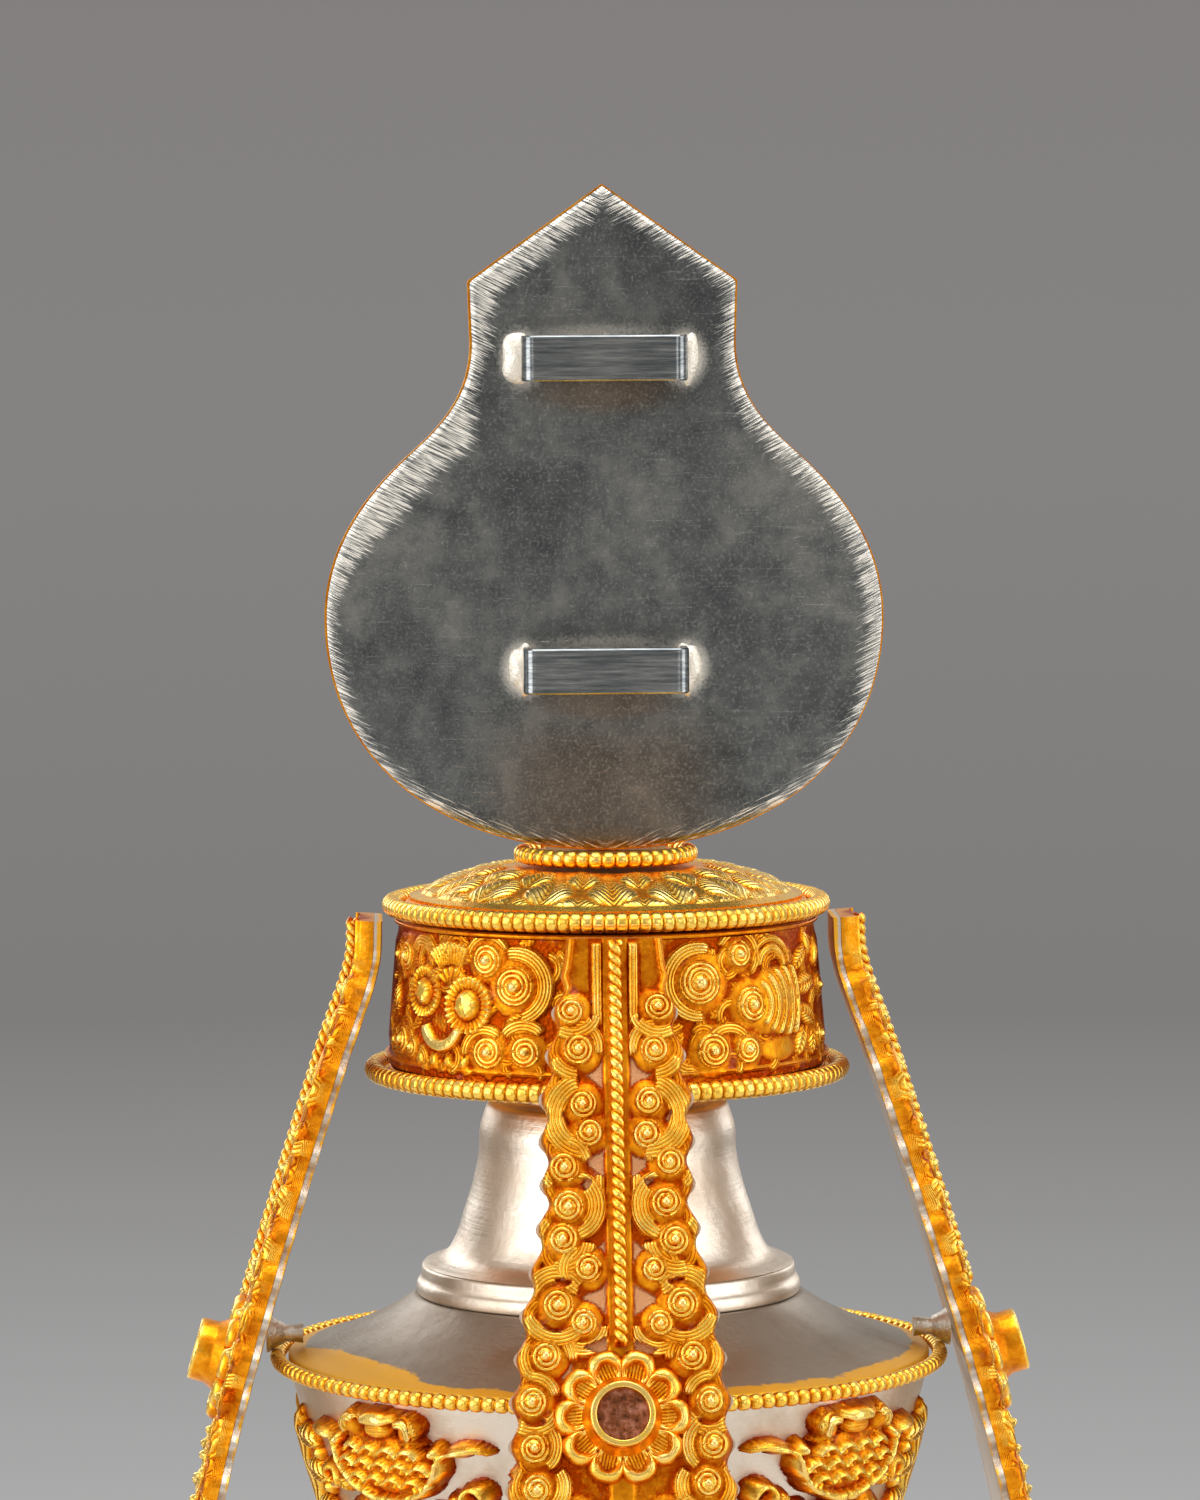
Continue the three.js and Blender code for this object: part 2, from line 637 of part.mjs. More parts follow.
// A low mound on the plaque's face: half widths across and up, and how far it stands out.
function mound(across, up, proud, rise) {
  const ball = new THREE.SphereGeometry(1, 8, 5).scale(across, proud, up);
  return toSolid(ball.translate(0, plaqueFaceY, plaqueBase + rise));
}

// A flat disc on the plaque's face.
function disc(radius, proud, rise) {
  const plate = new THREE.CylinderGeometry(radius, radius, proud * 2, SMALL_STEPS);
  return toSolid(plate.translate(0, plaqueFaceY, plaqueBase + rise));
}

// The seated figure on its lotus before two haloes, with a jewel above, each sized from the head.
function figureRelief() {
  const head = FIGURE_HEAD;
  const chin = FIGURE_LAP_RISE + head * 4.2;
  return [
    disc(head * 3.4, FIGURE_PROUD * 0.17, FIGURE_LAP_RISE + head * 2.2),
    disc(head * 1.95, FIGURE_PROUD * 0.3, chin + head * 1.3),
    mound(head * 3.2, head * 0.9, FIGURE_PROUD * 0.6, FIGURE_LAP_RISE - head * 1.35),
    mound(head * 2.7, head * 0.8, FIGURE_PROUD * 0.87, FIGURE_LAP_RISE),
    mound(head * 1.4, head * 1.95, FIGURE_PROUD * 0.87, FIGURE_LAP_RISE + head * 1.85),
    mound(head * 0.77, head, FIGURE_PROUD, chin + head * 0.6),
    mound(head * 0.4, head * 0.6, FIGURE_PROUD * 0.73, chin + head * 1.95),
    mound(head * 0.73, head * 0.73, FIGURE_PROUD * 0.47, chin + head * 4.8),
  ];
}

// The gilt face is a shallow dish, open at the back, with a seated figure on a lotus in relief.
function plaqueFront() {
  const skin = PLAQUE_SHELL_OVERHANG - PLAQUE_SHELL_SHEET;
  const hollow = toSolid(plaqueSlab(skin, plaqueShellY - 1, plaqueFaceY - PLAQUE_SHELL_SHEET));
  const rimTop = plaqueFaceY + PLAQUE_RIM_LIFT;
  const body = toSolid(plaqueSlab(PLAQUE_SHELL_OVERHANG, plaqueShellY, rimTop))
    .subtract(toSolid(plaqueSlab(PLAQUE_SHELL_OVERHANG - PLAQUE_RIM_WIDTH, plaqueFaceY, rimTop + 1)));
  const joined = figureRelief().reduce((whole, piece) => whole.add(piece), body);
  const slot = toSolid(tangSlot(plaqueBase - 2, plaqueBase + 2));
  return toGeometry(joined.subtract(hollow).subtract(slot));
}

function plaqueTang() {
  return box(
    new THREE.Vector3(-TANG_WIDTH / 2, tangY, lidCollarBase),
    new THREE.Vector3(TANG_WIDTH / 2, tangY + TANG_SHEET, plaqueBase + TANG_REACH),
  );
}

// A flat strip bent into a square loop, its two feet on the plaque's back.
function plaqueLoop(rise) {
  const half = LOOP_WIDTH / 2;
  const reach = LOOP_DEPTH + LOOP_STRIP;
  const innerBend = LOOP_BEND - LOOP_STRIP;
  const outerX = half - LOOP_BEND;
  const bendY = -reach + LOOP_BEND;
  const shape = new THREE.Shape();
  shape.moveTo(-half, 0);
  shape.absarc(-outerX, bendY, LOOP_BEND, Math.PI, Math.PI * 1.5, false);
  shape.absarc(outerX, bendY, LOOP_BEND, Math.PI * 1.5, Math.PI * 2, false);
  shape.lineTo(half, 0);
  shape.lineTo(half - LOOP_STRIP, 0);
  shape.absarc(outerX, bendY, innerBend, Math.PI * 2, Math.PI * 1.5, true);
  shape.absarc(-outerX, bendY, innerBend, Math.PI * 1.5, Math.PI, true);
  shape.lineTo(-half + LOOP_STRIP, 0);
  const strip = new THREE.ExtrudeGeometry(shape, {
    depth: LOOP_HEIGHT,
    bevelEnabled: false,
    curveSegments: 4,
  });
  return strip.translate(0, plaqueBackY - SEAT_GAP, plaqueBase + rise - LOOP_HEIGHT / 2);
}

// The line down a strap's inner face, from under the lid to its free tip
const strapRoute = [
  [drumLipRadius + SEAT_GAP, drumTop],
  [drumLipRadius + SEAT_GAP * 2, drumTop - 4.5],
  [drumBeadRadius + DRUM_BEAD_WIRE + STRAP_DRUM_CLEARANCE, drumBeadHeight],
  [shoulderBeadRadius + SHOULDER_BEAD_WIRE + STRAP_SHOULDER_CLEARANCE, shoulderBeadHeight],
  [(shoulderBeadRadius + STRAP_TIP_RADIUS) / 2 + 0.5, (shoulderBeadHeight + STRAP_TIP_HEIGHT) / 2 + 4],
  [STRAP_TIP_RADIUS, STRAP_TIP_HEIGHT],
];
const strapLine = new THREE.CatmullRomCurve3(strapRoute.map(([r, z]) => new THREE.Vector3(0, -r, z)));
const strapLength = drumTop - STRAP_TIP_HEIGHT;

// A strap's own frame at a drop below its top: a point on its inner face and the way it faces.
function strapFrame(drop) {
  const place = placeAtHeight(strapLine, (p) => p.z, drumTop - drop);
  const point = strapLine.getPoint(place);
  const tangent = strapLine.getTangent(place);
  return { point, facing: new THREE.Vector3(0, tangent.z, -tangent.y) };
}

function onStrap({ point, facing }, across, proud) {
  return point.clone().addScaledVector(facing, proud).add(new THREE.Vector3(across, 0, 0));
}

function strapHalfWidth(drop) {
  const share = (drop / strapLength) * STRAP_WIDTHS[STRAP_WIDTHS.length - 1][0];
  const beyondTab = drop > SCROLL_FIRST_DROP - SCROLL_PITCH && drop < strapLength - SCROLL_PITCH;
  const ripple = beyondTab ? Math.cos(((drop - SCROLL_FIRST_DROP) / SCROLL_PITCH) * 2 * Math.PI) : 0;
  return along(STRAP_WIDTHS, share) / 2 + SCALLOP * ripple;
}

const strapFace = STRAP_BACK_SHEET + SEAT_GAP + STRAP_FRONT_SHEET;

// The drops of the sections down a strap: two to each scroll
const strapDrops = [0, SCROLL_FIRST_DROP - SCROLL_PITCH];
const lastScrollDrop = strapLength - SCROLL_PITCH / 2;
for (let drop = SCROLL_FIRST_DROP - SCROLL_PITCH / 2; drop < lastScrollDrop; drop += SCROLL_PITCH / 2) {
  strapDrops.push(drop);
}
strapDrops.push(strapLength - SEAT_GAP);

// Half width of the flat seat under the wire or the flower. The flower's circle is taken one section
// wider, as the sheet runs straight from one section to the next.
function strapSeat(drop) {
  const clear = FLOWER_RADIUS + SEAT_GAP;
  const away = Math.max(0, Math.abs(drop - FLOWER_DROP) - SCROLL_PITCH / 2);
  if (away < clear) return Math.max(STRAP_WIRE_SEAT, Math.sqrt(clear ** 2 - away ** 2));
  return drop < FLOWER_DROP ? STRAP_WIRE_SEAT : 0;
}

// The gilt sheet: scalloped edges, a ridge of scrolls down both sides and lower coils inside them.
function strapFront() {
  const sections = strapDrops.map((drop) => {
    const frame = strapFrame(drop);
    const half = strapHalfWidth(drop);
    const ridge = Math.max(half - SCROLL_EDGE_MARGIN, half * 0.6);
    const seat = strapSeat(drop);
    const flat = Math.min(Math.max(seat, COIL_STEP), Math.max(ridge * 0.6, ridge - COIL_STEP * 2));
    const coil = Math.min(flat + COIL_STEP, (flat + ridge) / 2);
    const turn = ((drop - SCROLL_FIRST_DROP) / SCROLL_PITCH) * 2 * Math.PI;
    const relief = STRAP_RELIEF * (drop < SCROLL_FIRST_DROP ? TAB_SHARE : 1);
    const scrollLift = strapFace + relief * (0.8 + 0.2 * Math.cos(turn));
    const coilLift = strapFace + relief * (COIL_SHARE - 0.1 * Math.cos(turn));
    const middle = seat > 0 ? strapFace : coilLift;
    const side = [
      [half, strapFace],
      [ridge, scrollLift],
      [coil, coilLift],
      [flat, middle],
    ];
    return [
      onStrap(frame, -half, strapFace - STRAP_FRONT_SHEET),
      onStrap(frame, half, strapFace - STRAP_FRONT_SHEET),
      ...side.map(([across, proud]) => onStrap(frame, across, proud)),
      ...side.reverse().map(([across, proud]) => onStrap(frame, -across, proud)),
    ];
  });
  return loft(sections);
}

// The silver sheet behind it, with every section where the strap bends and every fourth below.
function strapBack() {
  const bend = FLOWER_DROP / 2;
  const last = strapDrops.length - 1;
  const drops = strapDrops.filter((drop, i) => drop < bend || i % 4 === 0 || i === last);
  return loft(drops.map((drop) => {
    const frame = strapFrame(drop);
    const half = strapHalfWidth(drop) - SCALLOP / 2;
    return [
      onStrap(frame, -half, 0),
      onStrap(frame, half, 0),
      onStrap(frame, half, STRAP_BACK_SHEET),
      onStrap(frame, -half, STRAP_BACK_SHEET),
    ];
  }));
}

// Twisted wire down the middle, from under the lid to the flower.
function strapWire() {
  const first = SEAT_GAP;
  const last = FLOWER_DROP - FLOWER_RADIUS - SEAT_GAP;
  const drops = strapDrops.filter((drop) => drop > first + 1 && drop < last - 1);
  const route = [first, ...drops.filter((drop, i) => i < 5 || i % 4 === 0), last].map((drop) => (
    onStrap(strapFrame(drop), 0, strapFace + SEAT_GAP * 0.7 + STRAP_WIRE)));
  const section = new THREE.Shape(new THREE.EllipseCurve(0, 0, STRAP_WIRE, STRAP_WIRE).getPoints(5).slice(0, 5));
  return new THREE.ExtrudeGeometry(section, { extrudePath: new THREE.CatmullRomCurve3(route), steps: 10 });
}

// A rosette in its own frame: +Z away from the strap, standing on z = 0.
function strapFlower() {
  const corners = FLOWER_PETALS * 2;
  const ring = (radius, notch, height) => {
    const points = [];
    for (let i = 0; i < corners; i++) {
      const angle = (i / corners) * 2 * Math.PI;
      const reach = i % 2 ? radius - notch : radius;
      points.push(new THREE.Vector3(reach * Math.cos(angle), reach * Math.sin(angle), height));
    }
    return points;
  };
  return loft([
    ring(FLOWER_RADIUS, 0.9, 0),
    ring(FLOWER_RADIUS, 0.9, FLOWER_HEIGHT * 0.5),
    ring(BEZEL_RADIUS + 0.6, 0, FLOWER_HEIGHT),
  ]);
}

// An empty setting for a round stone, in the same frame as the flower.
function strapBezel() {
  return revolve([
    [0, 0],
    [BEZEL_RADIUS, 0],
    [BEZEL_RADIUS, BEZEL_HEIGHT],
    [BEZEL_SEAT_RADIUS, BEZEL_HEIGHT],
    [BEZEL_SEAT_RADIUS, BEZEL_FLOOR],
    [0, BEZEL_FLOOR],
  ], 12);
}

// Stands a piece made in the flower's frame on the strap, so far off its inner face.
function seatOnStrap(mesh, drop, proud) {
  const frame = strapFrame(drop);
  mesh.position.copy(onStrap(frame, 0, proud));
  mesh.quaternion.setFromUnitVectors(new THREE.Vector3(0, 0, 1), frame.facing.normalize());
}

// A short silver rod from the shoulder's edge to the strap's back.
function strapStay() {
  const start = BELLY_RADIUS - STAY_OVERLAP;
  const height = shoulderEdge + SEAT_GAP * 2 + STAY_RADIUS + STAY_OVERLAP * 0.25;
  const { point } = strapFrame(drumTop - height - STAY_RADIUS);
  const end = -point.y - SEAT_GAP;
  const rod = new THREE.CylinderGeometry(STAY_RADIUS, STAY_RADIUS, end - start, 8);
  return rod.translate(0, -(start + end) / 2, height);
}

// A point on the bowl that faces -Y, so far off its surface.
function onBowl(across, drop, proud) {
  const place = placeAtHeight(bellyLine, (p) => p.y, bellyTop - drop);
  const [radius, height] = offBelly(place, proud);
  const angle = across / radius;
  return new THREE.Vector3(radius * Math.sin(angle), -radius * Math.cos(angle), height);
}

// A rounded form that stands on an ornament's sheet.
function maskForm({ across, drop, wide, tall, proud, turn = 0, sides = 5, top = 0.6 }) {
  const foot = SEAT_GAP + MASK_SHEET / 2;
  const ring = (share, lift) => {
    const points = [];
    for (let i = 0; i < sides; i++) {
      const angle = ((i + 0.5) / sides) * 2 * Math.PI;
      const spot = new THREE.Vector2(wide * share * Math.cos(angle), tall * share * Math.sin(angle));
      spot.rotateAround(new THREE.Vector2(), turn);
      points.push(onBowl(across + spot.x, drop - spot.y, lift));
    }
    return points;
  };
  return toSolid(loft([ring(1, foot), ring(top, proud)]));
}

// The smooth band that runs from horn to horn under the jewel.
function jewelRim() {
  const steps = 5;
  const foot = SEAT_GAP + MASK_SHEET / 2;
  const sections = [];
  for (let i = 0; i <= steps; i++) {
    const angle = (i / steps) * Math.PI;
    const spot = (inset, proud) => onBowl(
      (JEWEL_HALF - inset) * Math.cos(angle), JEWEL_DROP + (JEWEL_REACH - inset) * Math.sin(angle), proud);
    sections.push([
      spot(0, foot),
      spot(JEWEL_RIM / 2, JEWEL_RIM_PROUD),
      spot(JEWEL_RIM, foot),
    ]);
  }
  return toSolid(loft(sections));
}

// A gilt ornament beaten to the curve of the bowl, in the -Y direction: a scaled jewel with horns
// under a flat cap, rings and curls beside it and a hanging drop below.
function bellyMask() {
  const spread = [-1, -0.5, 0, 0.5, 1];
  const sheet = loft(MASK_OUTLINE.map(([drop, half]) => {
    const row = (proud) => spread.map((side) => onBowl(side * half, drop, proud));
    return [...row(SEAT_GAP), ...row(SEAT_GAP + MASK_SHEET).reverse()];
  }));
  const single = [MASK_CAP, MASK_BLOCK, MASK_JEWEL, MASK_PENDANT, MASK_DROP];
  const mirrored = MASK_PAIRS.map((form) => ({ ...form, across: -form.across, turn: -(form.turn ?? 0) }));
  const forms = [...single, ...MASK_PAIRS, ...mirrored].map(maskForm);
  const whole = [...forms, jewelRim()].reduce((joined, form) => joined.add(form), toSolid(sheet));
  return toGeometry(whole.simplify(MASK_TOLERANCE));
}

add('base_plate', basePlate(), silver);
add('foot_shell', footShell(), gilt);
add('foot_beading', wireRing(FOOT_RADIUS + SEAT_GAP + FOOT_BEAD_WIRE, FOOT_BEAD_WIRE,
  FOOT_RIM_HEIGHT / 2), gilt);
add('foot_waist_beading', wireRing(WAIST_RADIUS + SEAT_GAP + WAIST_BEAD_WIRE, WAIST_BEAD_WIRE,
  FOOT_RIM_HEIGHT + (FOOT_HEIGHT - FOOT_RIM_HEIGHT) * 0.44 + WAIST_BEAD_WIRE + SEAT_GAP), gilt);
add('stem', stem(), silver);
add('calyx', calyx(), gilt);
add('belly_bowl', bellyBowl(), silver);
add('shoulder_plate', shoulderPlate(), silver);
add('shoulder_beading', wireRing(shoulderBeadRadius, SHOULDER_BEAD_WIRE, shoulderBeadHeight), gilt);
add('neck_collar', neckCollar(), silver);
add('neck', neck(), silver);
add('drum_floor', drumFloor(), gilt);
add('drum_wall', drumWall(), gilt);
add('drum_beading', wireRing(drumBeadRadius, DRUM_BEAD_WIRE, drumBeadHeight), gilt);

for (let i = 0; i < STRAP_COUNT; i++) {
  const number = i + 1;
  const strap = new THREE.Group();
  strap.rotation.z = (i / STRAP_COUNT) * 2 * Math.PI;
  vase.add(strap);
  add(`strap_front_${number}`, strapFront(), gilt, strap);
  add(`strap_back_${number}`, strapBack(), silver, strap);
  add(`strap_wire_${number}`, strapWire(), gilt, strap);
  add(`strap_stay_${number}`, strapStay(), silver, strap);
  const flower = add(`strap_flower_${number}`, strapFlower(), gilt, strap);
  seatOnStrap(flower, FLOWER_DROP, strapFace + SEAT_GAP);
  const bezel = add(`strap_bezel_${number}`, strapBezel(), gilt, strap);
  seatOnStrap(bezel, FLOWER_DROP, strapFace + SEAT_GAP * 2 + FLOWER_HEIGHT);
  const mask = add(`belly_mask_${number}`, bellyMask(), gilt, strap);
  mask.rotation.z = Math.PI / STRAP_COUNT;
}

add('lid_dome', lidDome(), gilt);
add('lid_spigot', lidSpigot(), gilt);
add('lid_beading', wireRing(lidEdgeRadius + SEAT_GAP + LID_BEAD_WIRE, LID_BEAD_WIRE,
  lidBase + LID_BEAD_WIRE), gilt);
add('lid_collar', lidCollar(), gilt);
add('lid_collar_beading', wireRing(LID_COLLAR_RADIUS + SEAT_GAP + LID_COLLAR_BEAD_WIRE,
  LID_COLLAR_BEAD_WIRE, lidTop + SEAT_GAP + LID_COLLAR_BEAD_WIRE, SMALL_STEPS), gilt);
add('plaque_back', plaqueSlab(0, plaqueBackY, plaqueBackY + PLAQUE_BACK_SHEET), polishedSilver);
add('plaque_front', plaqueFront(), gilt);
add('plaque_tang', plaqueTang(), silver);
add('upper_loop', plaqueLoop(UPPER_LOOP_RISE), silver);
add('lower_loop', plaqueLoop(LOWER_LOOP_RISE), silver);

export default vase;
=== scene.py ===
"""A Himalayan long-life vase in silver and fire-gilt copper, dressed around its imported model.

Every finished surface is made here: the turned silver, the repousse drum, lid and straps, the beaded
wires, the plaque with its plain back, and the lotus foot. Places are worked out in millimetres and
turned to metres when a mesh is made.
"""

import math
from functools import partial

import bmesh
import bpy
import numpy as np
from mathutils import Matrix, Vector


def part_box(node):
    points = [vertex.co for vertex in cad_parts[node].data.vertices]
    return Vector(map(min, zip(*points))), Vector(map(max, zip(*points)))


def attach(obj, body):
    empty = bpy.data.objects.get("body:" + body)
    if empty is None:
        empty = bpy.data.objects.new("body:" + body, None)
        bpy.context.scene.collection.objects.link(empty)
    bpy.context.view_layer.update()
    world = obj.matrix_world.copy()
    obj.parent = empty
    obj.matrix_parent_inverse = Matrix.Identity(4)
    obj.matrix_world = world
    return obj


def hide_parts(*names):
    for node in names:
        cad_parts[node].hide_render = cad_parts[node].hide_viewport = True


bl_info = {
    "name": "Long-life vase",
    "version": (1, 0, 0),
    "blender": (4, 5, 0),
    "location": "View3D > Sidebar > Vase",
    "description": "Makes the finished pieces of a gilt and silver long-life vase",
    "category": "Object",
}

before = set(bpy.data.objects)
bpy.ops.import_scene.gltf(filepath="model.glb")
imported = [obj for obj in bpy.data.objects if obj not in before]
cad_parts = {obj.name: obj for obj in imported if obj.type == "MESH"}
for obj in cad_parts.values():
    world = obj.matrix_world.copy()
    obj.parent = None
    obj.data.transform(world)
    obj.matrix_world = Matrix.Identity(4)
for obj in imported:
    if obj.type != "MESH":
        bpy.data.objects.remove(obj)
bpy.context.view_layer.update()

MM = 0.001
STRAPS = 4


def linear(code):
    """A colour written as sRGB hex, as linear red, green, blue and alpha."""
    parts = [int(code[i : i + 2], 16) / 255 for i in (1, 3, 5)]
    return (*(c / 12.92 if c <= 0.04045 else ((c + 0.055) / 1.055) ** 2.4 for c in parts), 1.0)


def reach_of(node):
    """A turned node's outer radius, base and top, in millimetres."""
    low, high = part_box(node)
    return high.x / MM, low.z / MM, high.z / MM


# Sizes and colours that a user would change


def length(label, description, size):
    """A length whose default is given in millimetres."""
    return bpy.props.FloatProperty(
        name=label, description=description, default=size * MM, min=0.05 * MM, unit="LENGTH", precision=5)


def turn_angle(label, description, degrees):
    return bpy.props.FloatProperty(
        name=label, description=description, default=math.radians(degrees), subtype="ANGLE", unit="ROTATION")


def number(label, description, default):
    return bpy.props.IntProperty(name=label, description=description, default=default, min=5)


def colour(label, description, code):
    return bpy.props.FloatVectorProperty(
        name=label, description=description, subtype="COLOR", size=4, min=0, max=1, default=linear(code))


class VaseSizes(bpy.types.PropertyGroup):
    engraving: length("Engraving", "Distance between two engraved lines", 0.34)
    strap_relief: length("Strap relief", "How far the scrolls on the straps stand out", 1.25)
    drum_relief: length("Drum relief", "How far the emblems on the drum stand out", 1.15)
    lid_relief: length("Lid relief", "How far the leaves on the lid stand out", 0.8)
    ornament_relief: length("Ornament relief", "How far the belly ornaments stand out", 2.0)
    strand_pitch: length("Strand pitch", "Distance between two strands along a twisted wire", 1.05)
    lid_beads: number("Lid beads", "Beads round the lid's rim", 121)
    drum_beads: number("Drum beads", "Beads round the drum's foot", 124)
    shoulder_beads: number("Shoulder beads", "Beads round the shoulder", 159)
    collar_beads: number("Collar beads", "Beads round the plaque's foot", 42)
    foot_beads: number("Foot beads", "Beads round the foot's rim", 168)
    waist_beads: number("Waist beads", "Beads round the foot's waist", 112)
    rosette_petals: number("Rosette petals", "Petals round each setting", 10)
    foot_petals: number("Foot petals", "Large petals round the foot", 12)
    calyx_petals: number("Calyx petals", "Petals under the belly", 12)


class VaseColours(bpy.types.PropertyGroup):
    # Painted highlight: the pale gilding colour given to the crests
    gilt_crest: colour("Gilt crest", "Gilding on the rubbed high places", "#FFD054")
    gilt: colour("Gilt", "Gilding on the broad of the work", "#F59E18")
    # Painted shade: the deep orange colour given to the recesses
    gilt_recess: colour("Gilt recess", "Gilding over copper in the low places", "#A83E02")
    bare_copper: colour("Bare copper", "Copper that shows where gilding is thin", "#A8553C")
    silver: colour("Silver", "Satin silver of the vase", "#E4D8C9")
    tarnish: colour("Tarnish", "Warm grey film on the silver", "#BFA68C")
    # Painted reflection: the plaque's silver is given dark for the room that it mirrors
    plaque: colour("Plaque", "Rolled silver of the plaque's back", "#757878")
    paste: colour("Paste", "Dried setting paste in the empty settings", "#9A5B38")


class VaseStage(bpy.types.PropertyGroup):
    camera_distance: length("Camera distance", "From the vase's axis to the lens", 650)
    camera_height: length("Camera height", "From the floor to the lens", 192.07)
    camera_aside: length("Camera aside", "How far the lens looks past the vase's axis, to its left", 0.5)
    camera_pitch: turn_angle("Camera pitch", "How far the camera looks down", 4)
    camera_turn: turn_angle("Camera turn", "How far round the vase the camera stands, to its left", 1.8)
    camera_roll: turn_angle("Camera roll", "How far the camera leans", -0.36)
    backdrop: colour("Backdrop", "The pale grey behind the vase", "#858382")
    floor: colour("Floor", "The floor under the vase", "#CFCDCA")


def sizes():
    return bpy.context.scene.vase_sizes


def colours():
    return bpy.context.scene.vase_colours


def engraving():
    """Distance between two engraved lines, in millimetres."""
    return sizes().engraving / MM


# Node trees


def set_input(tree, socket, value):
    """Sets an input to a value, or links it to an output or to each of a list of outputs."""
    if isinstance(value, bpy.types.NodeSocket):
        value = [value]
    if isinstance(value, list):
        for output in value:
            tree.links.new(output, socket)
    else:
        socket.default_value = value


def add_node(tree, kind, *given, stops=(), out=None, **settings):
    """Adds a node and returns its output of a name, or else its first one.

    The kind may be followed by an operation. What is given goes to the inputs in order. A setting that
    starts with a capital goes to the input of that name, and any other is set on the node itself.
    """
    kind, *operation = kind.split()
    node = tree.nodes.new(kind if "Node" in kind else "ShaderNode" + kind)
    if operation:
        node.operation = operation[0]
    for name, value in settings.items():
        if name[0].islower():
            setattr(node, name, value)
    for socket, value in zip([socket for socket in node.inputs if socket.enabled], given):
        set_input(tree, socket, value)
    for name, value in settings.items():
        if name[0].isupper():
            set_input(tree, node.inputs[name.replace("_", " ")], value)
    for i, (place, shade) in enumerate(stops):
        elements = node.color_ramp.elements
        element = elements[i] if i < len(elements) else elements.new(place)
        element.position = place
        element.color = shade
    return node.outputs[out] if out else next(socket for socket in node.outputs if socket.enabled)


def per(size):
    """The scale at which a noise on Object coordinates has features of this many millimetres."""
    return 1 / (size * MM)


def open_finish(name):
    """An empty finish: its material, the function that adds its nodes, and its Object coordinates."""
    material = bpy.data.materials.new(name)
    material.use_nodes = True
    add = partial(add_node, material.node_tree)
    return material, add, add("TexCoord", out="Object")


def close_finish(material, height, **inputs):
    """Sets or links the shader's inputs, and bumps it by a height in millimetres."""
    tree = material.node_tree
    inputs["Normal"] = add_node(tree, "Bump", Height=height, Distance=MM, Strength=1.0)
    for name, value in inputs.items():
        set_input(tree, tree.nodes["Principled BSDF"].inputs[name.replace("_", " ")], value)


def fire_gilding(name, wear=0.0, grain=(0.016, 0.06)):
    """Mercury gilding on beaten copper, with copper showing through in specks. Its colour carries painted
    light:
    deep orange painted shade in the low places and in the troughs of engraved lines, and pale painted
    highlight on the crests. Light breaks up on the punched ground and on fine engraved lines."""
    material, add, place = open_finish(name)
    shade = colours()
    tone, line, cut, matt = (
        add("Attribute", attribute_name=value, out="Fac") for value in ("tone", "line", "cut", "matt"))
    clouds, mottle, grit, patches = (
        add("TexNoise", Vector=place, Scale=per(size), Detail=detail, Roughness=uneven)
        for size, detail, uneven in ((5.0, 4, 0.55), (0.9, 3, 0.55), (0.22, 2, 0.55), (2.6, 5, 0.65)))
    trough = add("Math MULTIPLY_ADD", add("Math SINE", add("Math MULTIPLY", line, math.tau)), -0.5, 0.5)
    wave = add("Math MULTIPLY_ADD", add("Math POWER", trough, 2.5), -1.7, 0.75)
    wave = add("Math MULTIPLY", wave, cut)
    # Painted shade in each engraved line's trough, painted highlight on its crest
    tone = add("Math MULTIPLY_ADD", wave, 0.20, tone)
    varied = add("Math ADD", tone, add("MapRange", mottle, 0.3, 0.7, -0.10, 0.10))
    # Random clouds, with the whole ramp shifted lighter as painted highlight by the offset
    cloudy = add("MapRange", clouds, 0.3, 0.7, wear - 0.10, wear + 0.10)
    varied = add("Math ADD", varied, cloudy, use_clamp=True)
    # Painted shade deep orange in the low places, painted highlight pale on the crests
    gold = add("ValToRGB", varied, stops=(
        (0.10, shade.gilt_recess), (0.44, shade.gilt), (0.72, shade.gilt_crest), (1.0, linear("#FFDC86"))))
    thin = add("Math MULTIPLY", add("MapRange", patches, 0.60, 0.68), add("MapRange", tone, 0.45, 0.1))
    thin = add("Math MULTIPLY", thin, add("Math MULTIPLY_ADD", matt, -0.8, 0.8))
    gold = add("Mix", thin, gold, shade.bare_copper, data_type="RGBA")
    # The hatched ground: painted highlight on the crests of its lines, with random grit
    hatched = add("Mix", add("MapRange", add("Math ADD", wave, grit), 0.1, 1.0),
                  linear("#E27C30"), linear("#FFD29C"), data_type="RGBA")
    gold = add("Mix", add("Math MULTIPLY", matt, 0.85), gold, hatched, data_type="RGBA")
    rough = add("Math MULTIPLY_ADD", matt, 0.12, add("MapRange", varied, 0.05, 0.9, 0.44, 0.20))
    rough = add("Math ADD", rough, add("MapRange", grit, 0.3, 0.7, -0.05, 0.07), use_clamp=True)
    punched = add("TexVoronoi", Vector=place, Scale=per(0.42), Randomness=0.8)
    height = add("Math MULTIPLY", punched, add("MapRange", tone, 0.34, 0.12, 0, 0.10))
    for form, depth in ((grit, grain[0]), (mottle, grain[1]), (wave, 0.055)):
        height = add("Math MULTIPLY_ADD", form, depth, height)
    close_finish(material, height, Base_Color=gold, Roughness=rough,
                 Metallic=add("Math MULTIPLY_ADD", matt, -0.6, 1.0))


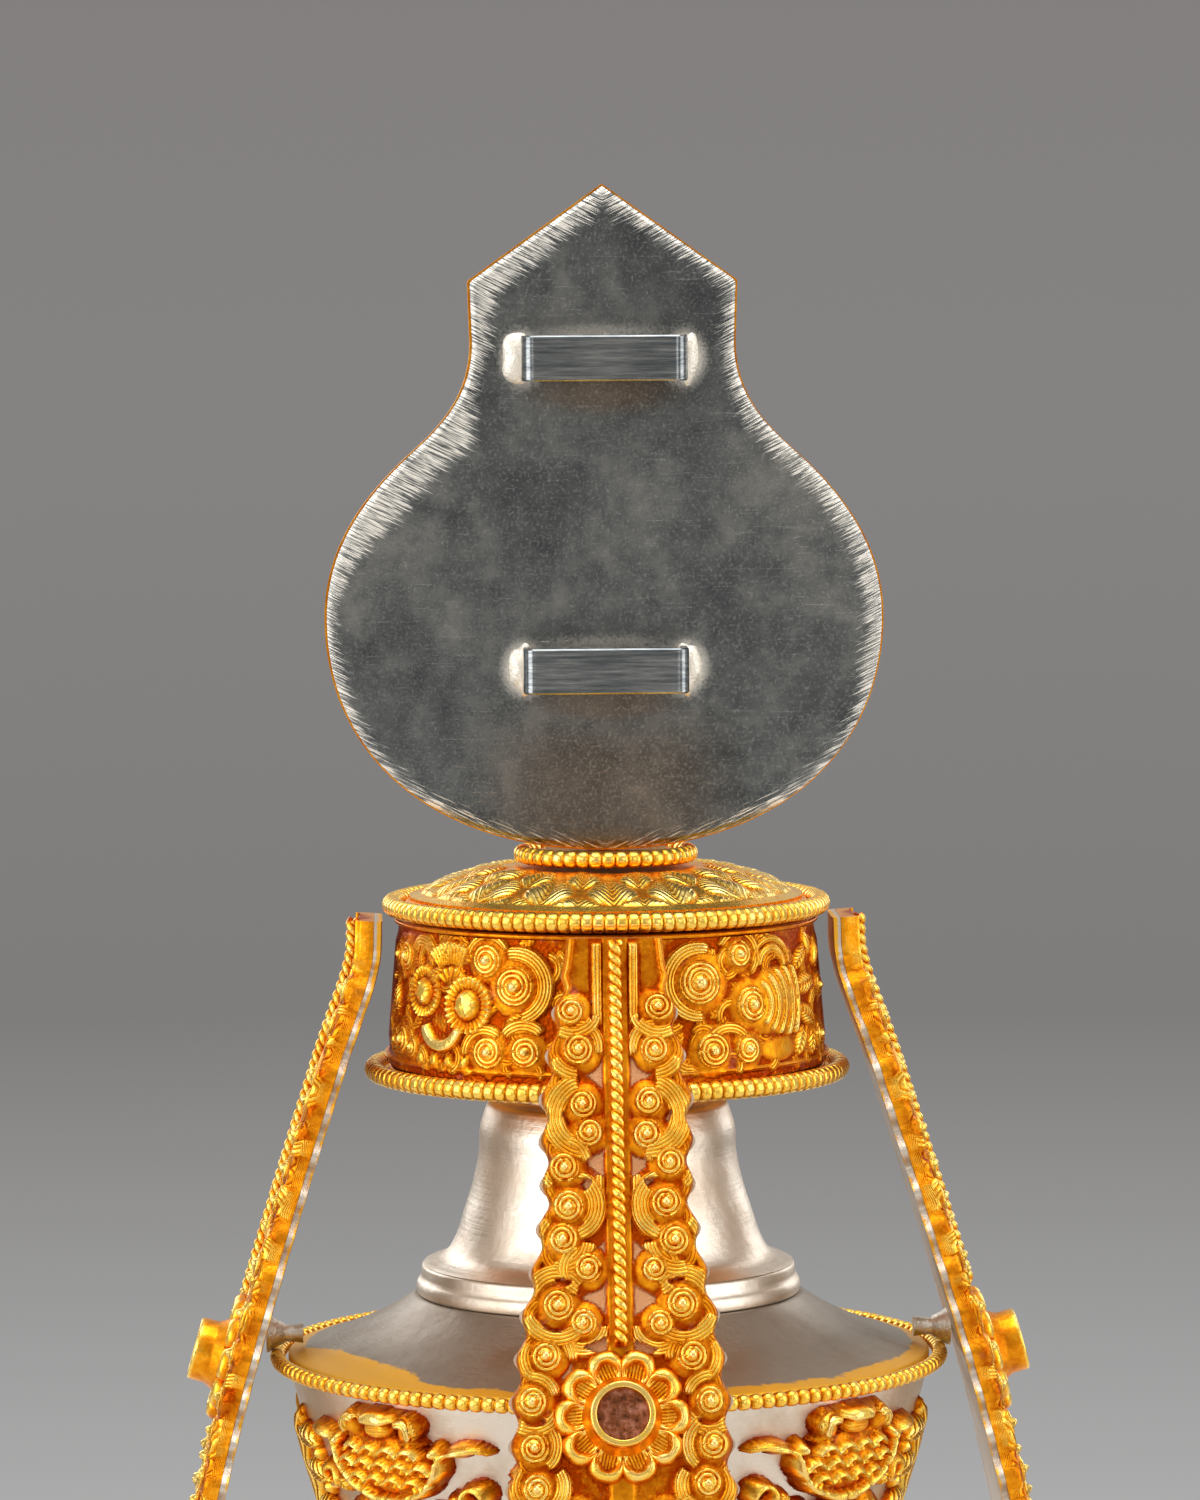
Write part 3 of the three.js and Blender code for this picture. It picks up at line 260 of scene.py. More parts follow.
def satin_silver(name, rough=0.35, dull=0.0):
    """Turned and pickled silver: a soft white metal with faint lathe rings, clouds of warm tarnish,
    and a yellow film where gilding paste has run over it. Darker copies mix in a grey brown as painted shade."""
    material, add, place = open_finish(name)
    radius = add("VectorMath LENGTH", add("VectorMath MULTIPLY", place, (1, 1, 0)))
    turned = add("CombineXYZ", radius, add("SeparateXYZ", place, out="Z"))
    rings, clouds, specks, pits, edge = (
        add("TexNoise", Vector=where, Scale=per(size), Detail=detail, Roughness=uneven)
        for where, size, detail, uneven in (
            (turned, 0.35, 4, 0.7), (place, 9.0, 5, 0.62), (place, 0.16, 2, 0.7), (place, 0.7, 4, 0.75),
            (place, 2.2, 6, 0.75)))
    spilled = add("Math ADD", add("Attribute", attribute_name="spill", out="Fac"),
                  add("MapRange", edge, 0.3, 0.7, -0.35, 0.35))
    spilled = add("MapRange", spilled, 0.42, 0.64)
    silver = colours().silver
    # Tarnish, pits and spilt gilding are the silver's own; the grey brown is painted shade for the darker
    # copies
    for share, film in (
            (add("MapRange", clouds, 0.48, 0.78, 0, 0.85), colours().tarnish), (dull, linear("#6E6256")),
            (add("MapRange", pits, 0.66, 0.76, 0, 0.55), linear("#6F6258")),
            (add("Math MULTIPLY", spilled, 0.96), linear("#F0B00C"))):
        silver = add("Mix", share, silver, film, data_type="RGBA")
    rough = add("Math ADD", add("MapRange", clouds, 0.3, 0.75, rough - 0.06, rough + 0.12),
                add("MapRange", specks, 0.3, 0.7, -0.05, 0.05), use_clamp=True)
    height = add("Math MULTIPLY", rings, 0.03)
    height = add("Math MULTIPLY_ADD", specks, 0.018, height)
    height = add("Math MULTIPLY_ADD", clouds, 0.25, height)
    close_finish(material, height, Base_Color=silver, Roughness=rough,
                 Metallic=add("Math MULTIPLY_ADD", spilled, -0.3, 1.0))


def rolled_silver(name):
    """Rolled silver sheet, polished but handled: painted darker than the satin silver, as painted reflection
    of the room that it mirrors, clouded with finger film, scratched, and worked with a file in short bright
    strokes along its edge, with painted highlight where that band is widest at the upper left, a brown patch
    low in the middle and a painted brown shadow under each loop."""
    material, add, place = open_finish(name)
    # The file was drawn down and inwards, at one slope on each side
    aside = add("Math ABSOLUTE", add("SeparateXYZ", place, out="X"))
    level = add("Math MULTIPLY_ADD", aside, -0.5, add("SeparateXYZ", place, out="Z"))
    slanted = add("CombineXYZ", add("Math MULTIPLY", level, per(0.15)), add("Math MULTIPLY", aside, per(3.0)))
    stretched = add("Mapping", Vector=place, Rotation=(0.0, math.radians(24), 0.0), Scale=(1.0, 1.0, 26.0))
    rolling = add("Mapping", Vector=place, Scale=(0.06, 1.0, 1.0))
    wide, cloud, grain, strokes, scratch, rolled = (
        add("TexNoise", Vector=where, Scale=scale, Detail=detail, Roughness=uneven)
        for where, scale, detail, uneven in (
            (place, per(14.0), 5, 0.6), (place, per(3.0), 6, 0.68), (place, per(0.28), 3, 0.7),
            (slanted, 1.0, 2, 0.6), (stretched, per(6.0), 3, 0.8), (rolling, per(0.25), 3, 0.6)))
    inward, edge, frosted, warmth = (
        add("Attribute", attribute_name=value, out="Fac") for value in ("inward", "filed", "frost", "warmth"))
    film = add("Math MULTIPLY_ADD", wide, 0.55, add("Math MULTIPLY", cloud, 0.45))
    # Painted reflection: dark greys for the room that the sheet mirrors, clouded with finger film
    silver = add("ValToRGB", film, stops=(
        (0.32, linear("#4C5256")), (0.5, colours().plaque), (0.66, linear("#96958F"))))
    reach = add("Math ADD", edge, add("MapRange", strokes, 0.3, 0.7, -1.2, 1.2))
    filed = add("MapRange", add("Math SUBTRACT", reach, inward), 0.0, 0.9)
    filed = add("Math MULTIPLY", filed, add("MapRange", strokes, 0.42, 0.58))
    frost = add("Math ADD", frosted, add("MapRange", grain, 0.3, 0.7, -0.2, 0.2), use_clamp=True)
    # The file-worked band and the frost go near white, with painted highlight where the band is widest
    bright = add("Math MAXIMUM", filed, frost)
    # Darker grain, then a brown patch low in the middle with a painted brown shadow under each loop, then the
    # bright file-worked band and frost
    for share, shade in ((add("MapRange", grain, 0.36, 0.64, 0.0, 0.55), "#4A4F52"),
                         (add("MapRange", warmth, 0.0, 1.0, 0.0, 0.62), "#75604A"), (bright, "#F1ECE2")):
        silver = add("Mix", share, silver, linear(shade), data_type="RGBA")
    rough = add("Math ADD", add("MapRange", film, 0.35, 0.65, 0.20, 0.36),
                add("MapRange", grain, 0.3, 0.7, -0.04, 0.06))
    rough = add("Math MULTIPLY_ADD", bright, 0.16, rough, use_clamp=True)
    height = add("Math MULTIPLY", add("Math MULTIPLY", strokes, filed), 0.05)
    for form, depth in ((add("MapRange", scratch, 0.66, 0.70), -0.01), (rolled, 0.006), (grain, 0.008)):
        height = add("Math MULTIPLY_ADD", form, depth, height)
    close_finish(material, height, Base_Color=silver, Roughness=rough, Metallic=1.0)


def drawn_strip(name):
    """Drawn silver strip, near mirror bright, with its dark blue grey as painted reflection of the room that
    it mirrors, with fine lines along its length and frosted solder where it joins the sheet."""
    material, add, place = open_finish(name)
    drawn = add("Mapping", Vector=place, Scale=(0.06, 0.3, 1.0))
    lines = add("TexNoise", Vector=drawn, Scale=per(0.3), Detail=4, Roughness=0.7)
    grain = add("TexNoise", Vector=place, Scale=per(0.3), Detail=3, Roughness=0.6)
    frost = add("Attribute", attribute_name="frost", out="Fac")
    # Painted reflection: dark blue greys for the room that the strip mirrors, streaked along its length
    strip = add("ValToRGB", lines, stops=((0.35, linear("#666D72")), (0.65, linear("#A0A3A3"))))
    strip = add("Mix", frost, strip, linear("#E9E2D6"), data_type="RGBA")
    rough = add("Math MULTIPLY_ADD", frost, 0.25, add("MapRange", lines, 0.3, 0.7, 0.12, 0.24))
    height = add("Math MULTIPLY", add("Math MULTIPLY", grain, frost), 0.12)
    height = add("Math MULTIPLY_ADD", lines, 0.010, height)
    close_finish(material, height, Base_Color=strip, Roughness=rough, Metallic=1.0)


def setting_paste(name):
    """Dried setting paste: crumbly, matt, brown with pink and dark grains, left where a stone was."""
    material, add, place = open_finish(name)
    lumps = add("TexNoise", Vector=place, Scale=per(0.9), Detail=5, Roughness=0.7)
    specks = add("TexNoise", Vector=place, Scale=per(0.3), Detail=3, Roughness=0.7)
    paste = add("ValToRGB", lumps, stops=(
        (0.34, linear("#4E2A18")), (0.5, colours().paste), (0.66, linear("#C99384"))))
    paste = add("Mix", add("MapRange", specks, 0.62, 0.7), paste, linear("#2E1C14"), data_type="RGBA")
    height = add("Math MULTIPLY_ADD", lumps, 0.5, add("Math MULTIPLY", specks, 0.2))
    close_finish(material, height, Base_Color=paste, Roughness=0.85, Metallic=0.0)


# Each finish's maker, what sets it apart, and the name of a slot, which no piece is given
FINISHES = {
    "fire_gilding": (fire_gilding, {}, "gilt"),
    # The wires' gilding: the same gilding painted lighter as painted highlight, with finer grain
    "burnished_gilt_wire": (fire_gilding, {"wear": 0.10, "grain": (0.005, 0.015)}, "gilt"),
    "satin_silver": (satin_silver, {}, "silver"),
    # Darker copies of the satin silver with painted shade: a little on the foot plate, linings and tang, most
    # on the up-facing shoulder
    "pickled_silver": (satin_silver, {"rough": 0.40, "dull": 0.2}, "silver"),
    "brushed_silver": (satin_silver, {"rough": 0.38, "dull": 0.72}, "silver"),
    "rolled_silver": (rolled_silver, {}, "plaque_silver"),
    "drawn_silver_strip": (drawn_strip, {}, "silver"),
    "setting_paste": (setting_paste, {}, None),
}


def finish(name):
    """A finish by its name, made once."""
    if name not in bpy.data.materials:
        maker, settings, _ = FINISHES[name]
        maker(name, **settings)
    return bpy.data.materials[name]


# Meshes


def grid_faces(rows, columns, close_rows=False, close_columns=False):
    """The quads of a grid of points numbered row by row."""
    row, column = np.meshgrid(
        np.arange(rows - 1 + close_rows), np.arange(columns - 1 + close_columns), indexing="ij")
    below, above = row * columns, (row + 1) % rows * columns
    beside = (column + 1) % columns
    return np.stack([below + column, below + beside, above + beside, above + column], -1).reshape(-1, 4)


def volume_of(points, faces):
    """Six times the volume that the faces close, below zero where they point inwards."""
    total = 0.0
    for face in faces:
        corners = points[np.asarray(face)]
        for i in range(1, corners.shape[-2] - 1):
            total += float(np.sum(np.cross(corners[..., 0, :], corners[..., i, :]) * corners[..., i + 1, :]))
    return total


def make_piece(name, points, quads, finish_name, values=None, others=(), weld=False, crease=50.0):
    """A closed mesh object from millimetre points, its quads, and any other faces. A value that a
    finish reads and the piece lacks is zero."""
    points = np.asarray(points, float).reshape(-1, 3)
    if volume_of(points, [quads, *others]) < 0:
        quads = quads[:, ::-1]
        others = [list(reversed(face)) for face in others]
    mesh = bpy.data.meshes.new(name)
    mesh.from_pydata((points * MM).tolist(), [], quads.tolist() + [list(face) for face in others])
    for value_name, value in (values or {}).items():
        layer = mesh.attributes.new(value_name, "FLOAT", "POINT")
        layer.data.foreach_set("value", np.asarray(value, np.float32).ravel())
    if weld:
        work = bmesh.new()
        work.from_mesh(mesh)
        bmesh.ops.remove_doubles(work, verts=work.verts, dist=1e-6)
        work.to_mesh(mesh)
        work.free()
    mesh.validate()
    mesh.update()
    mesh.shade_smooth()
    mesh.set_sharp_from_angle(angle=math.radians(crease))
    mesh.materials.append(finish(finish_name))
    piece = bpy.data.objects.new(name, mesh)
    bpy.context.scene.collection.objects.link(piece)
    return piece


def place_piece(piece, body, *nodes):
    """Lets a piece ride on its body and stand for its nodes."""
    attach(piece, body)
    if nodes:
        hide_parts(*nodes)


def four_round(piece, node=None):
    """Places a piece and its three copies round the vase, each numbered as the strap that it is at."""
    stem = piece.name[:-1]
    for strap in range(1, STRAPS + 1):
        copy = piece
        if strap > 1:
            copy = bpy.data.objects.new(stem + str(strap), piece.data.copy())
            copy.data.name = copy.name
            copy.data.transform(Matrix.Rotation((strap - 1) * math.pi / 2, 4, "Z"))
            bpy.context.scene.collection.objects.link(copy)
        place_piece(copy, "vase", *([f"{node}_{strap}"] if node else []))


def padded(values, before, after, tone):
    """The values with plain metal before and after them, at one even level of painted light."""
    added = {}
    for key, value in values.items():
        width = [(before, after)] + [(0, 0)] * (value.ndim - 1)
        added[key] = np.pad(value, width, constant_values=tone if key == "tone" else 0.0)
    return added


def sheet_piece(name, front, back, finish_name, values, crease=50.0):
    """A closed sheet from its worked front, a grid of points, and its plain back with as many rows."""
    rows, columns = front.shape[:2]
    back_columns = back.shape[1]
    offset = rows * columns
    quads = [grid_faces(rows, columns), offset + grid_faces(rows, back_columns)[:, ::-1]]
    row = np.arange(rows - 1)
    for front_column, back_column, flip in ((0, 0, 1), (columns - 1, back_columns - 1, -1)):
        near = row * columns + front_column
        far = offset + row * back_columns + back_column
        quads.append(np.stack([near, near + columns, far + back_columns, far], -1)[:, ::flip])
    ends = []
    for end, flip in ((0, -1), (rows - 1, 1)):
        fore = [end * columns + i for i in range(columns)]
        aft = [offset + end * back_columns + i for i in range(back_columns)]
        ends.append((fore + aft[::-1])[::flip])
    points = np.concatenate([front.reshape(-1, 3), back.reshape(-1, 3)])
    values = padded({key: np.ravel(value) for key, value in values.items()}, 0, rows * back_columns, 0.4)
    return make_piece(name, points, np.concatenate(quads), finish_name, values, ends, crease=crease)


def turned_piece(name, rings, finish_name, values=None, weld=False, crease=40.0):
    """A closed solid of revolution from rings of points: the last ring joins the first."""
    quads = grid_faces(*rings.shape[:2], close_rows=True, close_columns=True)
    return make_piece(name, rings, quads, finish_name, values, weld=weld, crease=crease)


def facing_points(radius, angle, height):
    """Points on a side that faces -Y, at an angle round from its middle."""
    return np.stack([radius * np.sin(angle), -radius * np.cos(angle), height], -1)


def rings_of(profile, segments):
    """Points round the Z axis for each [radius, height] of a profile."""
    profile = np.asarray(profile, float)
    angle = np.arange(segments) / segments * math.tau
    radius = profile[:, :1]
    height = profile[:, 1:2] + 0 * angle
    return np.stack([radius * np.cos(angle), radius * np.sin(angle), height], -1)


def eased(profile, radius, steps=4):
    """The closed profile with each corner rounded off, as a file or a polishing wheel would."""
    profile = [np.array(p, float) for p in profile]
    done = []
    for i, corner in enumerate(profile):
        back, on = profile[i - 1] - corner, profile[(i + 1) % len(profile)] - corner
        back_length, on_length = np.linalg.norm(back), np.linalg.norm(on)
        if min(back_length, on_length) < 1e-6:
            continue
        back, on = back / back_length, on / on_length
        straight = float(np.dot(back, on)) < -0.94
        if straight or corner[0] < 1e-6:
            done.append(corner)
            continue
        cut = min(radius, back_length * 0.45, on_length * 0.45)
        done.extend(bezier([corner + back * cut, corner, corner + on * cut], steps + 1))
    return np.array(done)


def bezier(points, count):
    """Points along a Bezier curve of any degree."""
    share = np.linspace(0, 1, count)[:, None]
    degree = len(points) - 1
    return sum(math.comb(degree, i) * share**i * (1 - share) ** (degree - i) * np.array(point, float)
               for i, point in enumerate(points))


def spline(points, count):
    """A centripetal Catmull-Rom curve through the points."""
    points = [np.array(p, float) for p in points]
    points = [2 * points[0] - points[1], *points, 2 * points[-1] - points[-2]]
    share = np.linspace(0, 1, count)[:, None]
    stretches = []
    for p0, p1, p2, p3 in zip(points, points[1:], points[2:], points[3:]):
        gap0, gap1, gap2 = (math.sqrt(np.linalg.norm(b - a)) for a, b in ((p0, p1), (p1, p2), (p2, p3)))
        leave = ((p1 - p0) / gap0 - (p2 - p0) / (gap0 + gap1) + (p2 - p1) / gap1) * gap1
        meet = ((p2 - p1) / gap1 - (p3 - p1) / (gap1 + gap2) + (p3 - p2) / gap2) * gap1
        bend = 3 * (p2 - p1) - 2 * leave - meet
        twist = 2 * (p1 - p2) + leave + meet
        stretches.append(p1 + leave * share + bend * share**2 + twist * share**3)
    return np.concatenate([stretch[:-1] for stretch in stretches[:-1]] + stretches[-1:])


def slope_of(line):
    """The way that a line of [radius, height] runs at each of its points."""
    slope = np.gradient(line, axis=0)
    return slope / np.linalg.norm(slope, axis=1)[:, None]


def smooth(value, low, high):
    """0 below low, 1 above high, and an even curve between them."""
    share = np.clip((value - low) / (high - low), 0, 1)
    return share * share * (3 - 2 * share)


def soften(grid, cells, wrap):
    """The grid averaged over a square of cells, twice."""
    width = 2 * cells + 1
    for axis in (0, 1, 0, 1):
        pad = [(0, 0), (0, 0)]
        pad[axis] = (cells + 1, cells)
        total = np.cumsum(np.pad(grid, pad, mode="wrap" if wrap and axis else "edge"), axis=axis)
        total = np.moveaxis(total, axis, 0)
        grid = np.moveaxis((total[width:] - total[:-width]) / width, 0, axis)
    return grid


class Relief:
    """Raised work on a sheet, at each place (across, up) in millimetres.

    A height is given as a share of the unit, a heading in degrees and a turn in radians. A form with a
    side of -1 is mirrored about the sheet's middle.
    """

    def __init__(self, across, up, unit=1.0, seed=0):
        self.across, self.up, self.unit = across, up, unit
        self.height, self.line, self.cut, self.matt = (np.zeros_like(across) for _ in range(4))
        self.chance = np.random.default_rng(seed)

    def near(self, x, y, side=1, turn=0.0):
        """Distances from a place, along a direction turned by an angle and across it."""
        dx, dy = self.across * side - x, self.up - y
        cos, sin = math.cos(turn), math.sin(turn)
        return dx * cos + dy * sin, dy * cos - dx * sin

    def lay(self, height, inside=True, line=0.0, cut=0.0):
        """Puts a form on the sheet wherever it stands higher than what is there."""
        height = np.where(inside, height, 0) * self.unit
        over = height > self.height + 1e-6
        for name, value in (("line", line), ("cut", cut), ("matt", 0), ("height", height)):
            setattr(self, name, np.where(over, value, getattr(self, name)))

    def swell(self, x, y, half_width, half_height, height, turn=0.0, melt=0.25, side=1):
        """A smooth mound that melts into its neighbours."""
        along, aside = self.near(x, y, side, turn)
        rise = np.sqrt(np.clip(1 - (along / half_width) ** 2 - (aside / half_height) ** 2, 0, 1))
        mound = height * self.unit * rise
        share = np.clip(0.5 + 0.5 * (mound - self.height) / melt, 0, 1)
        both = self.height * (1 - share) + mound * share + melt * share * (1 - share)
        self.height = np.where(mound > 0, both, self.height)

    def scroll(self, x, y, radius, height, hand=1, turn=0.0, side=1):
        """A coiled boss like a snail's shell: a cone with a spiral groove, fine rings and a pearl tip,
        on a smooth mound that reaches beyond it."""
        skirt = 1.5
        dx, dy = self.near(x, y, side)
        reach = np.hypot(dx, dy) / radius
        self.lay(0.56 * height * np.sqrt(np.clip(1 - (reach / skirt) ** 2.6, 0, 1)), reach < skirt)
        angle = np.arctan2(dy, dx * side) * side * hand / math.tau + turn
        winding = reach * radius / 0.46 - angle
        edge = smooth(reach, 1.0, 0.86)
        wound = smooth(reach, 0.26, 0.42) * edge
        ridge = (1 - 2 * (0.5 - 0.5 * np.cos(math.tau * winding)) ** 2) * wound
        pearl = 0.30 * np.sqrt(np.clip(1 - (reach / 0.30) ** 2, 0, 1))
        pearl -= 0.10 * np.exp(-(((reach - 0.34) / 0.06) ** 2))
        cone = 0.60 + 0.34 * np.clip(1 - reach, 0, 1) + 0.08 * ridge + pearl
        self.lay(height * cone * (0.35 + 0.65 * edge), reach < 1, winding + 0.25, wound)

    def coil(self, x, y, inner, outer, start, end, height, lines=1.0, side=1):
        """A band of engraved arcs about a place, between two radii and two headings."""
        dx, dy = self.near(x, y, side)
        reach = np.hypot(dx, dy)
        angle = np.degrees(np.arctan2(dy, dx)) - (start + end) / 2
        share = np.abs((angle + 180) % 360 - 180) / ((end - start) / 2)
        across = np.abs(np.clip((reach - (inner + outer) / 2) / ((outer - inner) / 2), -1, 1))
        across = across / (1 - 0.55 * np.clip(share, 0, 1) ** 4)
        lift = height * np.clip(1 - across**6, 0, 1) ** 0.5 * smooth(share, 1.0, 0.86)
        self.lay(lift, (across < 1) & (share < 1), reach / engraving(), lines * smooth(across, 0.97, 0.85))

    def reed(self, near, far, low, high, height, side=1):
        """An upright band of straight engraved lines."""
        away = self.across * side
        edge = np.minimum(np.minimum(away - near, far - away), np.minimum(self.up - low, high - self.up))
        self.lay(height * smooth(edge, 0, 0.18), edge > 0, self.across / engraving(), smooth(edge, 0, 0.15))

    def foliage(self, count, low, high, height):
        """Small leaves and curls scattered over the ground, each with fine ribs."""
        for _ in range(count):
            x, y = self.chance.uniform(low[0], high[0]), self.chance.uniform(low[1], high[1])
            heading = math.degrees(self.chance.uniform(0, math.tau))
            lift = height * self.chance.uniform(0.7, 1.0)
            if self.chance.uniform() < 0.45:
                inner = self.chance.uniform(0.5, 0.9)
                self.coil(x, y, inner, inner + self.chance.uniform(0.8, 1.2), heading, heading + 170, lift)
            else:
                self.leaf(x, y, heading, self.chance.uniform(2.0, 3.0), self.chance.uniform(1.1, 1.7), lift)

    def skin(self, height, waves):
        """Lifts everything that is lower up to a level with a gentle unevenness."""
        uneven = soften(self.chance.normal(0, 1, self.height.shape), 7, False)
        level = self.unit * (height + waves * uneven / np.abs(uneven).max())
        self.height = np.maximum(self.height, level)

    def sink(self, inside, floor):
        """Cuts a hatched recess, where inside goes from 0 at its edge to 1."""
        self.line = np.where(inside > 0.5, (self.across * 0.5 + self.up) / 0.17, self.line)
        self.cut = np.where(inside > 0.5, 0.7, self.cut)
        self.matt = np.maximum(self.matt, inside)
        self.height = self.height * (1 - inside) + floor * self.unit * inside

    def flatten(self, inside, height):
        """Smooths the sheet to one height, where inside goes from 0 at the edge to 1."""
        self.height = self.height * (1 - inside) + height * self.unit * inside
        self.cut = self.cut * (1 - inside)

    def notch(self, root, y, reach, half, floor, side=1):
        """A three-cornered recess: its straight side stands at root, and its corner points outwards."""
        away, rise = self.near(root, y, side)
        edge = np.minimum(away, (1 - away / reach - np.abs(rise) / half) * min(reach, half))
        self.sink(np.where(away > 0, smooth(edge, 0.0, 0.16), 0), floor)

    def lens(self, x, y, half_width, half_height, floor, turn=0.0, side=1):
        """A recess with a straight upper edge and a round lower one."""
        along, rise = self.near(x, y, side, turn)
        bowl = 1 - (along / half_width) ** 2 - ((rise - half_height) / (2 * half_height)) ** 2
        edge = np.minimum(bowl * half_height, half_height - rise)
        self.sink(np.where(bowl > 0, smooth(edge, 0.0, 0.14), 0), floor)

    def bow(self, start, end, bulge, width, height, taper=0.4, lines=1.0, side=1):
        """A curved band from one place to another, with lines engraved along it."""
        start, end = np.array(start, float), np.array(end, float)
        chord = np.linalg.norm(end - start)
        ahead = (end - start) / chord
        aside = np.array([-ahead[1], ahead[0]]) * (1 if bulge > 0 else -1)
        sagitta = max(abs(bulge), chord * 0.02)
        radius = (chord**2 / 4 + sagitta**2) / (2 * sagitta)
        centre = (start + end) / 2 - aside * (radius - sagitta)
        half_angle = math.acos(np.clip((radius - sagitta) / radius, -1, 1))
        dx, dy = self.near(*centre, side)
        along = np.arctan2(dx * ahead[0] + dy * ahead[1], dx * aside[0] + dy * aside[1]) / half_angle
        off = np.hypot(dx, dy) - radius
        half = width / 2 * np.clip(1 - taper * along**2, 0.05, 1)
        share = np.abs(np.clip(off / half, -1, 1))
        along = np.abs(along)
        lift = height * np.clip(1 - share**4, 0, 1) ** 0.5 * smooth(along, 1.12, 0.92)
        self.lay(lift, (share < 1) & (along < 1.12), off / engraving(), lines * smooth(share, 0.98, 0.8))

    def leaf(self, x, y, heading, length, width, height, blunt=0.75, ribs=0.8, vein=0.3, pitch=1.3, side=1):
        """A leaf from its root, with a mid vein and slanting ribs."""
        run, aside = self.near(x, y, side, math.radians(heading))
        along = np.clip(run / length, 0, 1)
        share = aside / (width / 2 * np.sin(math.pi * along**blunt) ** 0.8 + 1e-6)
        lift = height * np.clip(1 - share**2, 0, 1) ** 0.5 * np.clip(np.sin(math.pi * along), 0, 1) ** 0.3
        lift = lift * (1 - vein * np.exp(-((aside / (0.09 * width)) ** 2)))
        slant = (run * 0.8 + np.abs(aside)) / (engraving() * pitch)
        self.lay(lift, (along > 0) & (along < 1) & (np.abs(share) < 1), slant, ribs)

    def fan(self, x, y, inner, outer, start, end, ribs, height):
        """Ribs spread like a fan between two radii and two headings."""
        dx, dy = self.near(x, y)
        reach = np.hypot(dx, dy)
        angle = np.degrees(np.arctan2(dy, dx)) - (start + end) / 2
        share = ((angle + 180) % 360 - 180) / ((end - start) / 2)
        rib = np.abs(np.cos(math.pi * ribs * (share + 1) / 2))
        scallop = outer - (outer - inner) * 0.07 * rib
        lift = height * (0.6 + 0.4 * (reach - inner) / (outer - inner)) * (1 - 0.30 * rib**3)
        lift = lift * smooth(np.minimum(reach - inner, scallop - reach), 0, 0.22)
        self.lay(lift, (np.abs(share) < 1) & (reach > inner) & (reach < scallop))

    def boss(self, x, y, half_width, half_height, height, turn=0.0, flat=2.0, cut=0.0, side=1):
        """A mound with its own edge: flat of 2 is round and larger is flatter on top."""
        along, aside = self.near(x, y, side, turn)
        reach = np.hypot(along / half_width, aside / half_height)
        lift = height * np.clip(1 - reach**flat, 0, 1) ** 0.5
        self.lay(lift, reach < 1, (self.up - y) / engraving(), cut)

    def values(self, step, full, hollow=0.9, wrap=False):
        """The gilding's painted light, from 0 for painted shade in a recess to 1 for painted highlight on a
        crest, with the engraved lines.
        """
        around = soften(self.height, int(hollow / step), wrap)
        # Painted light: lighter where the sheet stands above its surroundings, darker where it lies below
        # them
        tone = 0.09 + 0.48 * np.clip(self.height / full, 0, 1) ** 0.7 + 1.25 * (self.height - around) / full
        return {"tone": np.clip(tone, 0, 1), "line": self.line, "cut": self.cut, "matt": self.matt}


def each(form, *rows, **settings):
    """Draws one form with each row of its values."""
    for row in rows:
        form(*row, **settings)


def pair(form, *rows, **settings):
    """Draws the rows' forms on the left side, and then on the right side."""
    for side in (-1, 1):
        each(form, *rows, side=side, **settings)


# Geometry Nodes


def open_tree(name, **inputs):
    """A new geometry tree with these inputs and a material: the tree, the function that adds its nodes,
    and what it is given."""
    tree = bpy.data.node_groups.new(name, "GeometryNodeTree")
    tree.interface.new_socket("Geometry", in_out="OUTPUT", socket_type="NodeSocketGeometry")
    for label, kind in {"Geometry": "Geometry", **inputs, "Material": "Material"}.items():
        tree.interface.new_socket(label.replace("_", " "), in_out="INPUT", socket_type="NodeSocket" + kind)
    return tree, partial(add_node, tree), tree.nodes.new("NodeGroupInput").outputs


def close_tree(tree, given, geometry):
    """Ends a tree in plain geometry of the given material."""
    real = add_node(tree, "GeometryNodeRealizeInstances", geometry)
    painted = add_node(tree, "GeometryNodeSetMaterial", real, Material=given["Material"])
    set_input(tree, tree.nodes.new("NodeGroupOutput").inputs[0], painted)
    return tree


def beaded_wire_tree():
    """A ring of wire pressed into beads, with a narrow neck between each two."""
    samples = 8
    tree, add, given = open_tree(
        "Beaded wire", Ring_Radius="Float", Wire_Radius="Float", Beads="Int", Neck="Float",
        Squareness="Float", Height="Float")
    count = add("Math MULTIPLY", given["Beads"], samples)
    ring = add("GeometryNodeCurvePrimitiveCircle", count, given["Ring Radius"])
    index = add("GeometryNodeInputIndex")
    share = add("Math DIVIDE", add("Math MODULO", index, samples), samples)
    from_middle = add("Math ABSOLUTE", add("Math MULTIPLY_ADD", share, 2.0, -1.0))
    swell = add("Math POWER", from_middle, given["Squareness"])
    swell = add("Math SQRT", add("Math SUBTRACT", 1.0, swell))
    bead = add("Math FLOOR", add("Math DIVIDE", index, samples))
    uneven = add("FunctionNodeRandomValue", 0.97, 1.0, bead, 7)
    girth = add("Math MULTIPLY_ADD", swell, given["Neck"], add("Math SUBTRACT", 1.0, given["Neck"]))
    girth = add("Math MULTIPLY", girth, uneven)
    # Painted light: painted shade in the neck between beads, painted highlight on each bead's middle
    tone = add("Math MULTIPLY_ADD", swell, 0.60, 0.06)
    toned = add("GeometryNodeStoreNamedAttribute", ring, Name="tone", Value=tone)
    section = add("GeometryNodeCurvePrimitiveCircle", 12, given["Wire Radius"])
    swept = add("GeometryNodeCurveToMesh", toned, section, girth)
    moved = add("GeometryNodeTransform", swept, Translation=add("CombineXYZ", Z=given["Height"]))
    return close_tree(tree, given, add("GeometryNodeSetShadeSmooth", moved))


